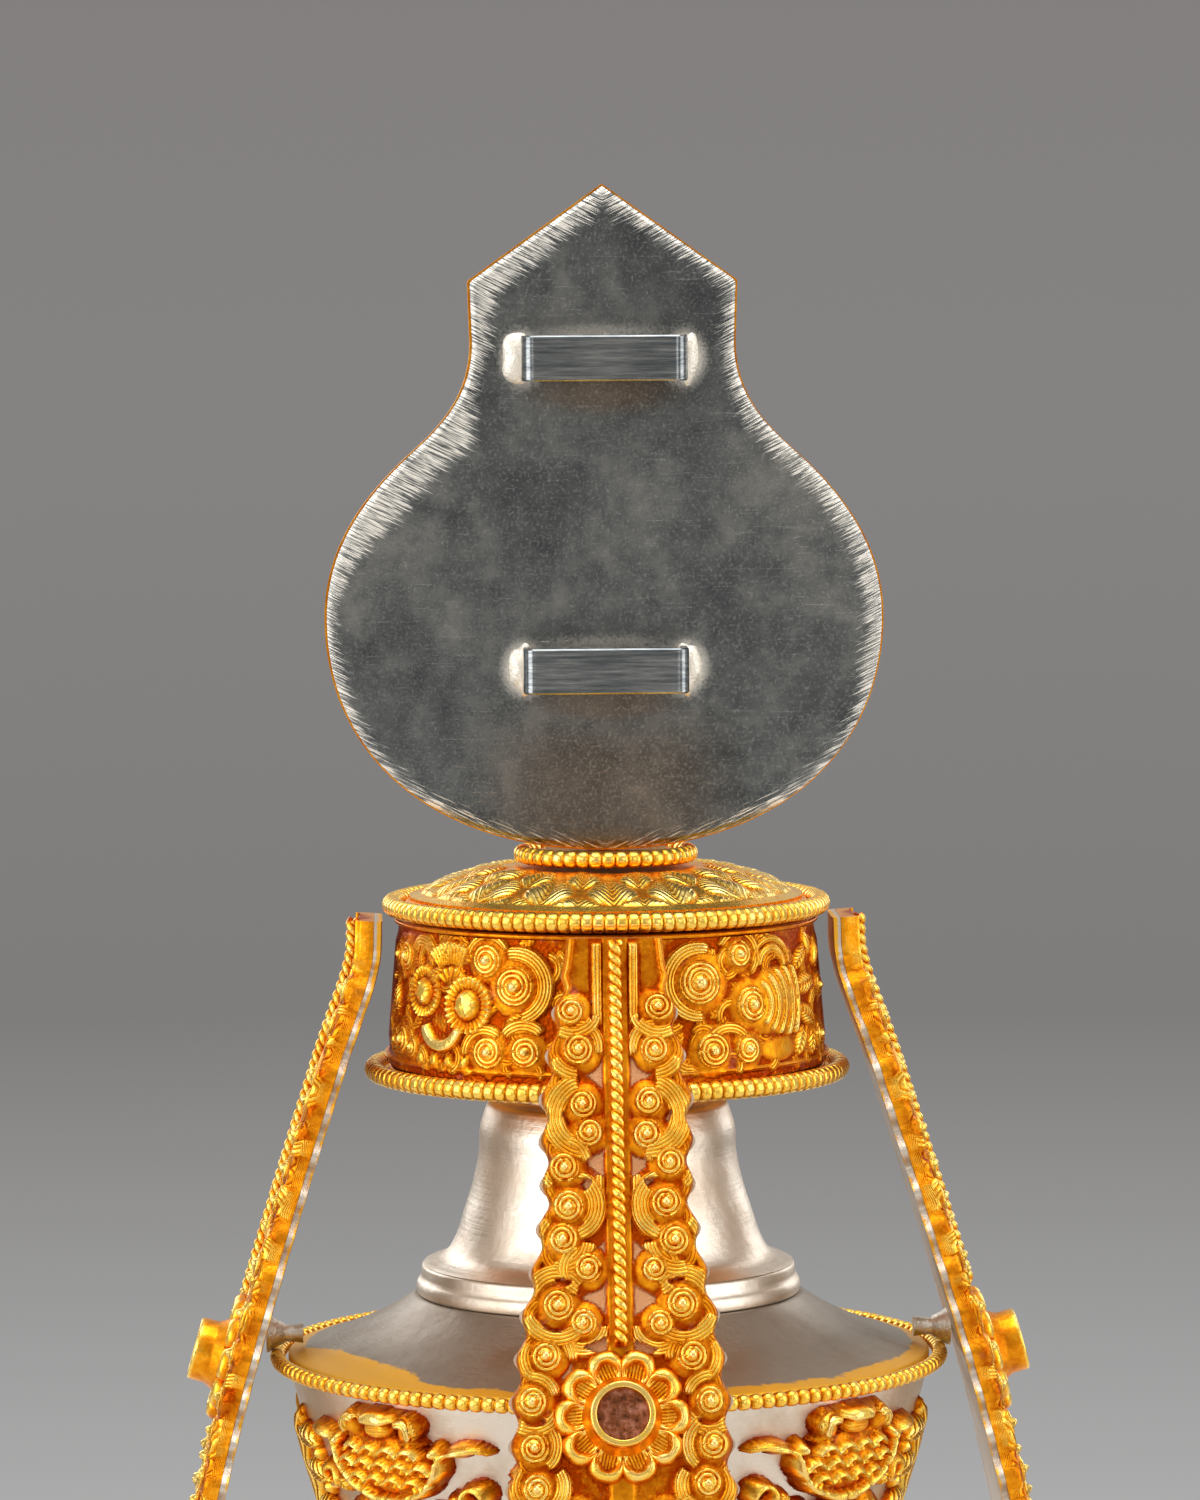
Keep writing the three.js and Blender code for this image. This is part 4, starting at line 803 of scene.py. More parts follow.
def copies_round_axis_tree():
    """The given geometry, copied evenly round the Z axis."""
    tree, add, given = open_tree("Copies round the axis", Copies="Int", Start_Angle="Float")
    points = add("GeometryNodeMeshCircle", given["Copies"], 0.0)
    step = add("Math DIVIDE", math.tau, given["Copies"])
    angle = add("Math MULTIPLY_ADD", add("GeometryNodeInputIndex"), step, given["Start Angle"])
    turn = add("FunctionNodeEulerToRotation", add("CombineXYZ", Z=angle))
    copies = add("GeometryNodeInstanceOnPoints", points, Instance=given["Geometry"], Rotation=turn)
    return close_tree(tree, given, copies)


def twisted_wire_tree():
    """Two round strands twisted about a given line that lies in the YZ plane."""
    tree, add, given = open_tree("Twisted wire", Wire_Radius="Float", Strand_Pitch="Float", Step="Float")
    line = add("GeometryNodeMeshToCurve", given["Geometry"])
    even = add("GeometryNodeResampleCurve", line, Length=given["Step"], mode="LENGTH")
    half_turns = add("Math DIVIDE", add("GeometryNodeSplineParameter", out="Length"), given["Strand Pitch"])
    outward = add("VectorMath CROSS_PRODUCT", add("GeometryNodeInputTangent"), (1.0, 0.0, 0.0))
    strand_radius = add("Math MULTIPLY", given["Wire Radius"], 0.62)
    throw = add("Math MULTIPLY", given["Wire Radius"], 0.39)
    strands = []
    for start in (0.0, math.pi):
        phase = add("Math MULTIPLY_ADD", half_turns, math.pi, start)
        aside = add("CombineXYZ", add("Math MULTIPLY", add("Math COSINE", phase), throw))
        away = add("VectorMath SCALE", outward, add("Math MULTIPLY", add("Math SINE", phase), throw))
        offset = add("VectorMath SUBTRACT", aside, away)
        moved = add("GeometryNodeSetPosition", even, Offset=offset)
        section = add("GeometryNodeCurvePrimitiveCircle", 10, strand_radius)
        strands.append(add("GeometryNodeCurveToMesh", moved, section, Fill_Caps=True))
    joined_strands = add("GeometryNodeJoinGeometry", strands)
    # Painted shade in the grooves between the strands, near the wire's middle line
    near = add("GeometryNodeProximity", given["Geometry"], target_element="EDGES", out="Distance")
    tone = add("MapRange", add("Math DIVIDE", near, given["Wire Radius"]), 0.72, 0.97, 0.0, 0.72)
    toned = add("GeometryNodeStoreNamedAttribute", joined_strands, Name="tone", Value=tone)
    return close_tree(tree, given, add("GeometryNodeSetShadeSmooth", toned))


def grown(name, start, tree, **given):
    """The plain mesh that a tree makes from a start mesh and its named inputs."""
    seed = bpy.data.objects.new(name, start)
    bpy.context.scene.collection.objects.link(seed)
    modifier = seed.modifiers.new("grow", "NODES")
    modifier.node_group = tree
    for item in tree.interface.items_tree:
        label = item.name.replace(" ", "_")
        if item.in_out == "INPUT" and label in given:
            modifier[item.identifier] = given[label]
    evaluated = seed.evaluated_get(bpy.context.evaluated_depsgraph_get())
    mesh = bpy.data.meshes.new_from_object(evaluated)
    mesh.name = name
    seed.modifiers.clear()
    seed.data = mesh
    return seed


# The lines that the pieces share, in millimetres

_, _, foot_top = reach_of("foot_shell")
belly_radius, belly_base, belly_top = reach_of("belly_bowl")
shoulder_radius, shoulder_low, shoulder_top = reach_of("shoulder_plate")
drum_lip_radius, drum_base, drum_top = reach_of("drum_wall")
lid_radius, lid_base, lid_top = reach_of("lid_dome")
gap = 0.3
sheet = 1.0

belly_line = bezier([
    (belly_radius, belly_top),
    (belly_radius * 0.825, belly_top - (belly_top - belly_base) * 0.54),
    (belly_radius * 0.62, belly_base + (belly_top - belly_base) * 0.08),
    (8.6, belly_base)], 400)


def follow(line, height):
    """A falling line's radius at each height, and the way its outer side faces, as outwards and up."""
    slope = slope_of(line)
    found = (line[:, 0], -slope[:, 1], slope[:, 0])
    return (np.interp(height, line[::-1, 1], value[::-1]) for value in found)


def off_belly(height, distance):
    """Radius and height a distance off the bowl's outside, for an array of heights on the bowl."""
    radius, outwards, up = follow(belly_line, height)
    return radius + outwards * distance, height + up * distance


def wire_place(node):
    """A ring wire's ring radius, wire radius and height."""
    low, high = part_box(node)
    # The solid's ring has five flats for its section, so its box is lower than the round wire
    wire = (high.z - low.z) / MM / (1 + math.cos(math.pi / 5))
    return high.x / MM - wire, wire, high.z / MM - wire


def beside_wire(node, distance):
    """The place at a distance outside a ring wire, as (radius, height)."""
    ring, wire, height = wire_place(node)
    return ring + wire + distance, height


strap_line = spline([
    (drum_lip_radius + gap, drum_top), (drum_lip_radius + gap * 2, drum_top - 4.5),
    beside_wire("drum_beading", 1.9), beside_wire("shoulder_beading", 1.1), (38.9, 70.95), (43.5, 48.0)], 60)
STRAP_LENGTH = drum_top - 48.0
STRAP_BACK_SHEET = 0.8
STRAP_FRONT_SHEET = 0.9
STRAP_FACE = STRAP_BACK_SHEET + gap + STRAP_FRONT_SHEET
SCROLL_PITCH = 4.0
FIRST_SCROLL = 7.3
# The drop at which each strap's setting sits
SETTING_DROP = 44.9
# How wide a strap is, at each drop below its top
STRAP_WIDTHS = [
    (0, 9.2), (5, 10.3), (10, 12), (16, 14), (25, 13.8), (31, 16), (36, 18.3), (43, 20.2), (50, 20.6),
    (61, 25), (69, 21.5), (76, 11), (82, 2.4)]


def strap_half_width(drop, scallop=0.32):
    """Half of a strap's width at a drop, with a wave for its scrolls."""
    ripple = np.cos((drop - FIRST_SCROLL) / SCROLL_PITCH * math.tau)
    rippled = smooth(drop, 2.5, 5.0) * smooth(drop, STRAP_LENGTH - 1, STRAP_LENGTH - 5)
    return np.interp(drop, *zip(*STRAP_WIDTHS)) / 2 + scallop * ripple * rippled


def on_strap(drop, across, proud):
    """Points on the strap that faces -Y, so far out from the strap's inner face."""
    height = drum_top - drop
    radius, outwards, up = follow(strap_line, height)
    radius = radius + outwards * proud
    return np.stack([across + 0 * radius, -radius, height + up * proud], -1)


# Pieces


class VASE_OT_beaded_wires(bpy.types.Operator):
    """Beaded wires round the foot, shoulder, drum, lid and plaque"""

    bl_idname = "vase.beaded_wires"
    bl_label = "Beaded wires"

    def execute(self, context):
        tree = beaded_wire_tree()
        given = sizes()
        for name, node, body, beads, neck, squareness in (
                ("foot_rim_beads", "foot_beading", "vase", given.foot_beads, 0.24, 4.0),
                ("foot_waist_beads", "foot_waist_beading", "vase", given.waist_beads, 0.24, 4.0),
                ("shoulder_beads", "shoulder_beading", "vase", given.shoulder_beads, 0.46, 2.2),
                ("drum_beads", "drum_beading", "vase", given.drum_beads, 0.24, 4.0),
                ("lid_beads", "lid_beading", "lid", given.lid_beads, 0.24, 4.0),
                ("collar_beads", "lid_collar_beading", "lid", given.collar_beads, 0.34, 2.8)):
            ring, wire, height = wire_place(node)
            piece = grown(
                name, bpy.data.meshes.new(name), tree, Ring_Radius=ring * MM, Wire_Radius=wire * MM,
                Beads=beads, Neck=neck, Squareness=squareness, Height=height * MM,
                Material=finish("burnished_gilt_wire"))
            place_piece(piece, body, node)
        return {"FINISHED"}


def turning(name, node, profile, body="vase", finish_name="satin_silver", ease=0.35, segments=160,
            spill=None):
    """A turned piece with eased corners in place of its node."""
    rings = rings_of(eased(profile, ease), segments)
    values = {"tone": np.full(rings.shape[:2], 0.4)}
    if spill:
        values["spill"] = spill(rings)
    place_piece(turned_piece(name, rings, finish_name, values, weld=True), body, node)


def shoulder_spill(rings):
    """Where gilding has run from the beaded edge over the shoulder's silver."""
    radius = np.hypot(rings[..., 0], rings[..., 1])
    angle = np.degrees(np.arctan2(rings[..., 1], rings[..., 0]))
    spill = smooth(radius, shoulder_radius - 2.2, shoulder_radius - 1.2)
    # Azimuth of the middle, half width in degrees, and how far in it reaches
    for middle, half, reach in ((-152, 27, 4.4), (-62, 9, 1.3), (-35, 16, 2.0), (70, 16, 3.4), (140, 9, 2.0)):
        away = np.abs((angle - middle + 180) % 360 - 180) / half
        inner = shoulder_radius - reach * np.sqrt(np.clip(1 - away**2, 0, 1))
        spill = np.maximum(spill, smooth(radius, inner - 1.0, inner + 0.8) * (away < 1))
    return spill * smooth(rings[..., 2], shoulder_low, shoulder_low + 0.6)


class VASE_OT_turned_silver(bpy.types.Operator):
    """Turned silver: belly, shoulder, neck, stem and the foot's plate, and the plain gilt discs and rings"""

    bl_idname = "vase.turned_silver"
    bl_label = "Turned silver"

    def execute(self, context):
        self.belly()
        self.shoulder()
        self.neck()
        self.stem()
        spigot_radius, _, _ = reach_of("lid_spigot")
        # Plain discs and rings, from an inner radius outwards
        for name, node, hole, *how in (
                ("foot_plate", "base_plate", 0, "vase", "pickled_silver"),
                ("drum_bottom", "drum_floor", 10.9, "vase", "fire_gilding"),
                ("lid_spigot_ring", "lid_spigot", spigot_radius - 0.8, "lid", "fire_gilding", 0.2),
                ("lid_collar_disc", "lid_collar", 0, "lid", "fire_gilding", 0.35, 96)):
            radius, low, top = reach_of(node)
            turning(name, node, [(hole, low), (radius, low), (radius, top), (hole, top)], *how)
        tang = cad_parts["plaque_tang"]
        tang.data.materials.clear()
        tang.data.materials.append(finish("pickled_silver"))
        return {"FINISHED"}

    def belly(self):
        outer = belly_line[::8]
        slope = slope_of(outer)
        inner = outer + np.stack([slope[:, 1], -slope[:, 0]], -1) * sheet
        inner[-1] = (outer[-1][0], belly_base + sheet)
        profile = [*outer, (0, belly_base), (0, belly_base + sheet), *inner[::-1]]
        turning("belly", "belly_bowl", profile, ease=0.25, segments=192)

    def shoulder(self):
        edge = shoulder_low + sheet
        rise = shoulder_top - edge
        landing, hole = 19.4, 15.2
        bend = (shoulder_radius - (shoulder_radius - landing) * 0.62, edge + rise * 0.36)
        line = bezier([(shoulder_radius, edge), bend, (landing, shoulder_top)], 20)
        upper = [*line, (hole, shoulder_top)]
        profile = [*upper, *[(r, z - sheet) for r, z in upper[::-1]]]
        # The shoulder takes the darkest copy: painted shade on its up-facing silver
        turning("shoulder", "shoulder_plate", profile, finish_name="brushed_silver", segments=256,
                spill=shoulder_spill)
        radius, low, top = reach_of("neck_collar")
        middle = (low + top) / 2
        low, top = low - gap * 0.9, top + gap * 0.9
        profile = [(hole, low), (radius - 0.1, low), (radius, low + 0.5), (radius - 0.1, middle - 0.3),
                   (radius - 0.5, middle + 0.2), (radius - 0.6, top), (hole, top)]
        turning("neck_ring", "neck_collar", profile, ease=0.4)

    def neck(self):
        flare, base, top = reach_of("neck")
        waist, pipe = 12.8, 10.6
        brow = top - 4.2
        # Shares of the sweep out from the waist, and of the rise up to the brow
        line = spline([(waist + (flare - waist) * out, base + (brow - base) * up) for out, up in (
            (1, 0), (0.62, 0.06), (0.45, 0.15), (0.27, 0.34), (0.13, 0.5), (0.02, 0.69), (0, 0.84))]
            + [(waist - 0.4, base + (brow - base) * 0.93)], 8)
        outer = [*line, ((waist + pipe) / 2 + 0.3, brow), (pipe, brow + gap), (pipe, top)]
        inner = [(r - sheet, z) for r, z in line] + [(pipe - sheet, brow - sheet), (pipe - sheet, top)]
        turning("neck_bell", "neck", [*outer, *inner[::-1]], ease=0.5)

    def stem(self):
        _, base, top = reach_of("stem")
        knop, slim, seat = 10.8, 6.0, 8.3
        knob = [(knop * (0.45 + 0.55 * math.cos(a) ** 0.6), 0.4 + 0.14 * math.sin(a))
                for a in np.linspace(-1.35, 1.35, 15)]
        profile = [(radius, base + (top - base) * share) for radius, share in (
            (0, 0), (seat, 0), (seat, 0.07), (slim, 0.15), (slim, 0.2), *knob, (slim, 0.62),
            (slim * 0.95, 0.8), (seat * 0.85, 0.92), (seat, 0.95), (seat, 1), (0, 1))]
        turning("stem_knop", "stem", profile, ease=0.4, segments=96)


def petal_piece(name, line, width_at, lift_at, thickness, tip=0.0):
    """One petal of a lotus, laid on a turned line of [radius, height] and bowed out from it."""
    slope = slope_of(line)
    outward = np.stack([slope[:, 1], -slope[:, 0]], -1)
    outward *= np.sign(outward[:, 0].mean())
    share = np.linspace(0, 1, len(line))[:, None]
    side = np.linspace(-1, 1, 21)[None, :]
    across = side * width_at(share)
    cushion = lift_at(share) * (1 - side**2) ** 0.6
    rim = 0.30 * np.exp(-(((1 - np.abs(side)) / 0.16) ** 2))
    vein = 0.22 * np.exp(-((side / 0.12) ** 2)) * (1 - share)
    proud = thickness + cushion + (rim + vein) * smooth(share, 1.0, 0.9)
    curl = tip * smooth(share, 0.72, 1.0) ** 1.5
    radius, height = line[:, :1], line[:, 1:]
    front, back = (
        facing_points(radius + outward[:, :1] * lift, across / radius, height + outward[:, 1:] * lift)
        for lift in (proud + curl, curl * 0.8 + 0 * proud))
    # Painted light: lighter on each petal's raised cushion, darker towards its edges
    values = {
        "tone": np.clip(0.22 + 0.5 * (proud - thickness) / max(float(cushion.max()), 0.1), 0, 1),
        "line": np.abs(across) / (engraving() * 2),
        "cut": 0.7 * smooth(np.abs(side), 0.95, 0.7) * smooth(share, 0.95, 0.8)}
    return sheet_piece(name, front, back, "fire_gilding", values, crease=70)


def ringed(tree, name, petal, copies, start):
    """A ring of copies of a petal, whose own object is used up."""
    mesh = petal.data
    bpy.data.objects.remove(petal)
    return grown(name, mesh, tree, Copies=copies, Start_Angle=start, Material=finish("fire_gilding"))


def joined(name, *pieces):
    """Several objects' meshes as one object."""
    whole = pieces[0]
    with bpy.context.temp_override(
            active_object=whole, selected_objects=pieces, selected_editable_objects=pieces):
        bpy.ops.object.join()
    whole.name = name
    whole.data.name = name
    return whole


def round_tip(share, bluntness):
    """A petal's width from 1 at its root to nothing at its tip, where share is 1."""
    return np.sqrt(np.clip(1 - share**bluntness, 0, 1))


class VASE_OT_lotus_foot(bpy.types.Operator):
    """Gilt foot: a flared shell under two rows of lotus petals"""

    bl_idname = "vase.lotus_foot"
    bl_label = "Lotus foot"

    def execute(self, context):
        rim, rise = 3.0, foot_top - 3.0
        radius, waist, neck = 31.8, 18.6, 8.6
        ledge = rim + rise * 0.44
        line = bezier([(radius - 0.7, rim + 0.4), (radius - 3.4, rim + rise * 0.25),
                       (waist + 4.2, rim + rise * 0.40), (waist + 0.6, ledge - 0.2)], 28)
        upper = bezier([(waist, ledge + 1.6), (neck + 5.2, ledge + rise * 0.12),
                        (neck + 0.6, ledge + rise * 0.28), (neck, foot_top)], 28)
        outer = [(radius, 0), (radius, rim), *line, (waist, ledge), *upper]
        inner = [(r - sheet, max(z - sheet * 0.6, 0)) for r, z in outer[2:]]
        profile = [*outer, *inner[::-1], (radius - sheet, rim * 0.8), (radius - sheet, 0)]
        rings = rings_of(eased(profile, 0.3), 192)
        parts = [turned_piece("foot_lotus", rings, "fire_gilding", {"tone": np.full(rings.shape[:2], 0.2)})]
        petals = sizes().foot_petals
        tree = copies_round_axis_tree()
        half = math.pi * (radius - 2) / petals
        high_half = math.pi * 11 / petals
        for name, route, width_at, lift_at, thickness, tip, start in (
                ("large_petals", line[::-1], lambda s: half * (0.55 + 0.45 * s) * round_tip(s, 6) + 0.05,
                 lambda s: 1.3 * np.sin(np.pi * s**1.4) ** 0.7 + 0.2, 0.3, 0.5, 0.0),
                ("small_petals", line[:20][::-1], lambda s: half * 0.62 * round_tip(s, 8) + 0.05,
                 lambda s: 0.5 + 0 * s, 0.12, 0.3, math.pi / petals),
                ("high_petals", upper[6:], lambda s: high_half * (1.05 - 0.75 * s) * round_tip(s, 6) + 0.05,
                 lambda s: 0.5 * (1 - s) + 0.15, 0.15, 0.0, 0.0)):
            petal = petal_piece(name, route, width_at, lift_at, thickness, tip)
            parts.append(ringed(tree, name, petal, petals, start))
        place_piece(joined("foot_lotus", *parts), "vase", "foot_shell")
        return {"FINISHED"}


class VASE_OT_calyx(bpy.types.Operator):
    """Lotus cup of upright petals under the belly"""

    bl_idname = "vase.calyx"
    bl_label = "Lotus cup"

    def execute(self, context):
        petals = sizes().calyx_petals
        _, base, top = reach_of("calyx")
        line = np.stack(off_belly(np.linspace(base + 0.5, top - 1.2, 26), gap), -1)
        tree = copies_round_axis_tree()
        widest = math.pi * float(line[:, 0].max()) / petals
        parts = []
        for name, part, lift_at, thickness, tip, start in (
                ("cup_front", 1.0, lambda s: 1.1 * np.sin(np.pi * s**1.2) ** 0.8 + 0.2, 0.5, 0.9, 0.0),
                ("cup_behind", 0.9, lambda s: 0.4 + 0 * s, 0.2, 0.5, math.pi / petals)):
            petal = petal_piece(
                name, line, lambda s: part * (widest * (0.42 + 0.62 * s) * round_tip(s, 5) + 0.05), lift_at,
                thickness, tip)
            parts.append(ringed(tree, name, petal, petals, start))
        place_piece(joined("lotus_cup", *parts), "vase", "calyx")
        return {"FINISHED"}


def rayed_disc(work, x, y, radius, height):
    """A ribbed rim round a smooth middle with a cross on it."""
    work.fan(x, y, radius * 0.5, radius, 0, 359.94, 27, height * 0.9)
    work.boss(x, y, radius * 0.56, radius * 0.56, height * 1.05, flat=2.6)
    for k in range(4):
        turn = k * math.pi / 2 + 0.3
        end = (x + radius * 0.42 * math.cos(turn), y + radius * 0.42 * math.sin(turn))
        work.bow((x, y), end, 0.05, 0.4, height * 1.08, lines=0)


def sun_fan_panel(work):
    """Two rayed discs over a crescent, beside a large wrapped scroll."""
    each(work.coil, (6.95, 9.4, 2.25, 4.1, -85, 115, 0.62), (3.8, 11.8, 1.9, 2.8, 20, 190, 0.55),
         (3.9, 2.6, 1.8, 3.0, 45, 190, 0.58), (8.0, 3.2, 1.7, 3.2, 40, 150, 0.58),
         (-5.6, 11.2, 1.2, 2.6, -20, 160, 0.5), (-10.9, 4.2, 1.5, 2.7, 60, 210, 0.5),
         (-8.0, 2.4, 1.2, 2.4, 20, 150, 0.5), (-1.5, 5.6, 1.8, 3.1, 186, 352, 1.0, 0))
    work.boss(-1.6, 4.9, 2.4, 2.0, 0.25, flat=4)
    each(work.fan, (-0.6, 8.6, 2.4, 5.0, 62, 132, 11, 0.9), (-0.6, 8.6, 0.9, 2.5, 40, 150, 5, 0.7),
         (-2.6, 0.3, 0.4, 2.0, 10, 170, 9, 0.55), (0.9, 0.2, 0.4, 1.7, 10, 170, 7, 0.5))
    for k in range(7):
        work.leaf(-5.2 + 1.05 * k, 0.9, 60 + 60 * (k % 2), 1.9, 0.9, 0.75, ribs=0)
    rayed_disc(work, -4.7, 8.2, 2.7, 0.9)
    rayed_disc(work, 1.65, 7.3, 3.0, 1.0)
    each(work.scroll, (-8.7, 11.4, 1.6, 0.9, 1, 0.3), (-8.6, 3.2, 1.7, 0.9, -1, 0.6),
         (3.8, 11.8, 1.75, 1.0, -1, 0.3), (6.95, 9.4, 2.15, 1.05, 1, 0.1), (4.3, 2.9, 1.75, 0.95, 1, 0.5),
         (8.2, 3.1, 1.65, 0.95, -1), (-10.2, 3.0, 1.6, 0.8, 1), (-6.6, 2.6, 1.2, 0.7, -1),
         (-10.9, 11.4, 1.4, 0.8, -1))
    each(work.leaf, (-4.6, 9.2, 25, 3.6, 1.7, 0.7), (-11.4, 8.6, -75, 3.0, 1.8, 0.7),
         (-5.2, 12.9, -10, 2.6, 1.4, 0.6), (0.6, 12.8, -40, 2.4, 1.5, 0.6), (5.9, 5.6, 20, 3.2, 1.6, 0.6))


def shell_panel(work):
    """A conch among scrolls."""
    each(work.coil, (-8.2, 9.7, 2.5, 4.1, 60, 285, 0.62), (-3.6, 12.0, 1.8, 2.8, -60, 160, 0.55),
         (-5.2, 2.6, 1.9, 3.1, 30, 150, 0.55), (0.8, 10.6, 1.4, 2.3, -10, 180, 0.62, 0.8),
         (0.8, 10.6, 2.4, 3.2, -5, 175, 0.55, 0.8), (8.6, 10.6, 1.5, 2.6, 60, 250, 0.5),
         (9.8, 5.4, 1.4, 2.6, 70, 250, 0.5))
    # The conch: a smooth body, ribbed across, that coils at its left end
    work.boss(1.0, 7.3, 5.0, 3.5, 0.88, turn=math.radians(10), flat=2.4)
    for k in range(5):
        edge = 58 - 7 * k
        work.coil(-2.6, 7.2, 2.1 + 1.15 * k, 2.95 + 1.15 * k, -edge, edge, 1.02 - 0.05 * k, lines=0.5)
    each(work.scroll, (-2.4, 7.2, 1.95, 1.12, 1, 0.4), (-8.2, 9.7, 2.35, 1.05, -1, 0.2),
         (-3.6, 12.2, 1.5, 1.0, 1, 0.6), (-7.0, 3.0, 1.85, 0.95, 1, 0.1), (-3.1, 2.9, 1.55, 0.95, -1, 0.4),
         (9.8, 3.2, 1.4, 0.8, 1), (10.9, 7.9, 1.3, 0.75, -1))
    each(work.leaf, (4.6, 8.2, 8, 4.6, 2.4, 0.85), (5.0, 6.3, -28, 4.4, 2.2, 0.8),
         (4.6, 10.0, 38, 4.0, 1.9, 0.75), (4.0, 1.6, 55, 3.6, 2.2, 0.75), (7.0, 1.2, 75, 3.4, 2.0, 0.7))
    each(work.boss, (1.2, 2.6, 3.0, 1.4, 0.5, 0.0, 4.0), (7.8, 12.2, 1.0, 1.4, 0.75, 0.3),
         (10.3, 11.2, 0.9, 1.5, 0.75, -0.3))


def lotus_panel(work):
    """A lotus blossom between two pairs of scrolls."""
    pair(work.coil, (8.3, 9.6, 2.5, 4.0, 70, 280, 0.62), (4.9, 12.0, 1.7, 2.7, -30, 120, 0.55),
         (8.2, 3.2, 1.9, 3.0, 20, 200, 0.55))
    pair(work.leaf, (0, 3.2, 10, 5.6, 2.2, 0.7))
    pair(work.scroll, (8.3, 9.6, 2.3, 1.05, 1, 0.2), (5.0, 12.2, 1.4, 1.0, -1, 0.5),
         (8.2, 3.2, 1.8, 0.95, -1), (4.4, 1.9, 1.2, 0.8, 1))
    for k in range(-2, 3):
        work.leaf(0, 3.2, 90 + 30 * k, 7.0 - abs(k) * 0.8, 3.2, 0.78 + 0.1 * (k % 2))
    each(work.boss, (0, 3.0, 1.6, 1.0, 1.05), (0, 12.2, 1.0, 1.0, 0.7))


def wheel_panel(work):
    """An eight-spoked wheel between two pairs of scrolls."""
    middle = 7.1
    pair(work.coil, (8.6, 10.0, 2.3, 3.6, 60, 290, 0.6), (8.4, 3.4, 2.1, 3.2, 70, 230, 0.58))
    pair(work.scroll, (8.6, 10.0, 2.15, 1.05, -1, 0.2), (8.4, 3.4, 1.95, 0.95, 1), (5.2, 1.6, 1.2, 0.7, -1))
    for heading in range(0, 360, 45):
        x, y = math.cos(math.radians(heading)), math.sin(math.radians(heading))
        work.bow((x, middle + y), (3.6 * x, middle + 3.6 * y), 0.05, 0.8, 0.8, lines=0)
        work.leaf(4.7 * x, middle + 4.7 * y, heading, 1.6, 1.7, 0.75)
    work.coil(0, middle, 3.5, 4.7, -179.9, 179.9, 0.92, lines=0.6)
    work.boss(0, middle, 1.4, 1.4, 1.1)


class VASE_OT_drum(bpy.types.Operator):
    """Repousse drum with an emblem in each panel between two straps"""

    bl_idname = "vase.drum"
    bl_label = "Drum"

    def execute(self, context):
        relief = sizes().drum_relief / MM
        columns, rows = 832, 92
        tall = drum_top - drum_base
        lip = tall - 0.5
        foot, wall = drum_lip_radius - 0.2, drum_lip_radius - 1.4
        middle = drum_lip_radius - 0.8
        up, angle = np.meshgrid(
            np.linspace(0, lip, rows), np.arange(columns) / columns * math.tau, indexing="ij")
        whole = Relief(angle * middle, up, relief)
        # The panels in order round the vase, by the azimuth of their middles
        for azimuth, draw in (
                (-135, sun_fan_panel), (-45, shell_panel), (45, lotus_panel), (135, wheel_panel)):
            across = ((angle - math.radians(azimuth) + math.pi) % math.tau - math.pi) * middle
            panel = Relief(across, up, relief * 0.92, seed=3)
            panel.skin(0.12, 0.08)
            panel.foliage(90, (-12.5, 0.8), (12.5, 13.4), 0.46)
            draw(panel)
            keep = np.abs(across) < 12.6
            for name in ("height", "line", "cut"):
                setattr(whole, name, np.where(keep, getattr(panel, name), getattr(whole, name)))
        whole.lay(0.40 * np.exp(-(((up - 0.9) / 0.3) ** 2)))
        values = whole.values(0.16, relief, wrap=True)
        swell = 0.175 * relief * smooth(up, 1.5, 3.0) * smooth(up, lip - 0.6, lip - 2.0)
        out = foot - (foot - wall) * up / tall + whole.height + swell * (whole.height < 0.05)
        outer = np.stack([out * np.cos(angle), out * np.sin(angle), drum_base + up], -1)
        rest = eased([
            (wall, drum_base + lip), (wall + 0.5, drum_base + lip + 0.1), (wall + 0.5, drum_top),
            (wall - 1.0, drum_top), (foot - 1.0, drum_base)], 0.2)[1:]
        rings = np.concatenate([outer, rings_of(rest, columns)])
        values = padded(values, 0, len(rest), 0.3)
        piece = turned_piece("drum_panels", rings, "fire_gilding", values, crease=60)
        place_piece(piece, "vase", "drum_wall")
        return {"FINISHED"}


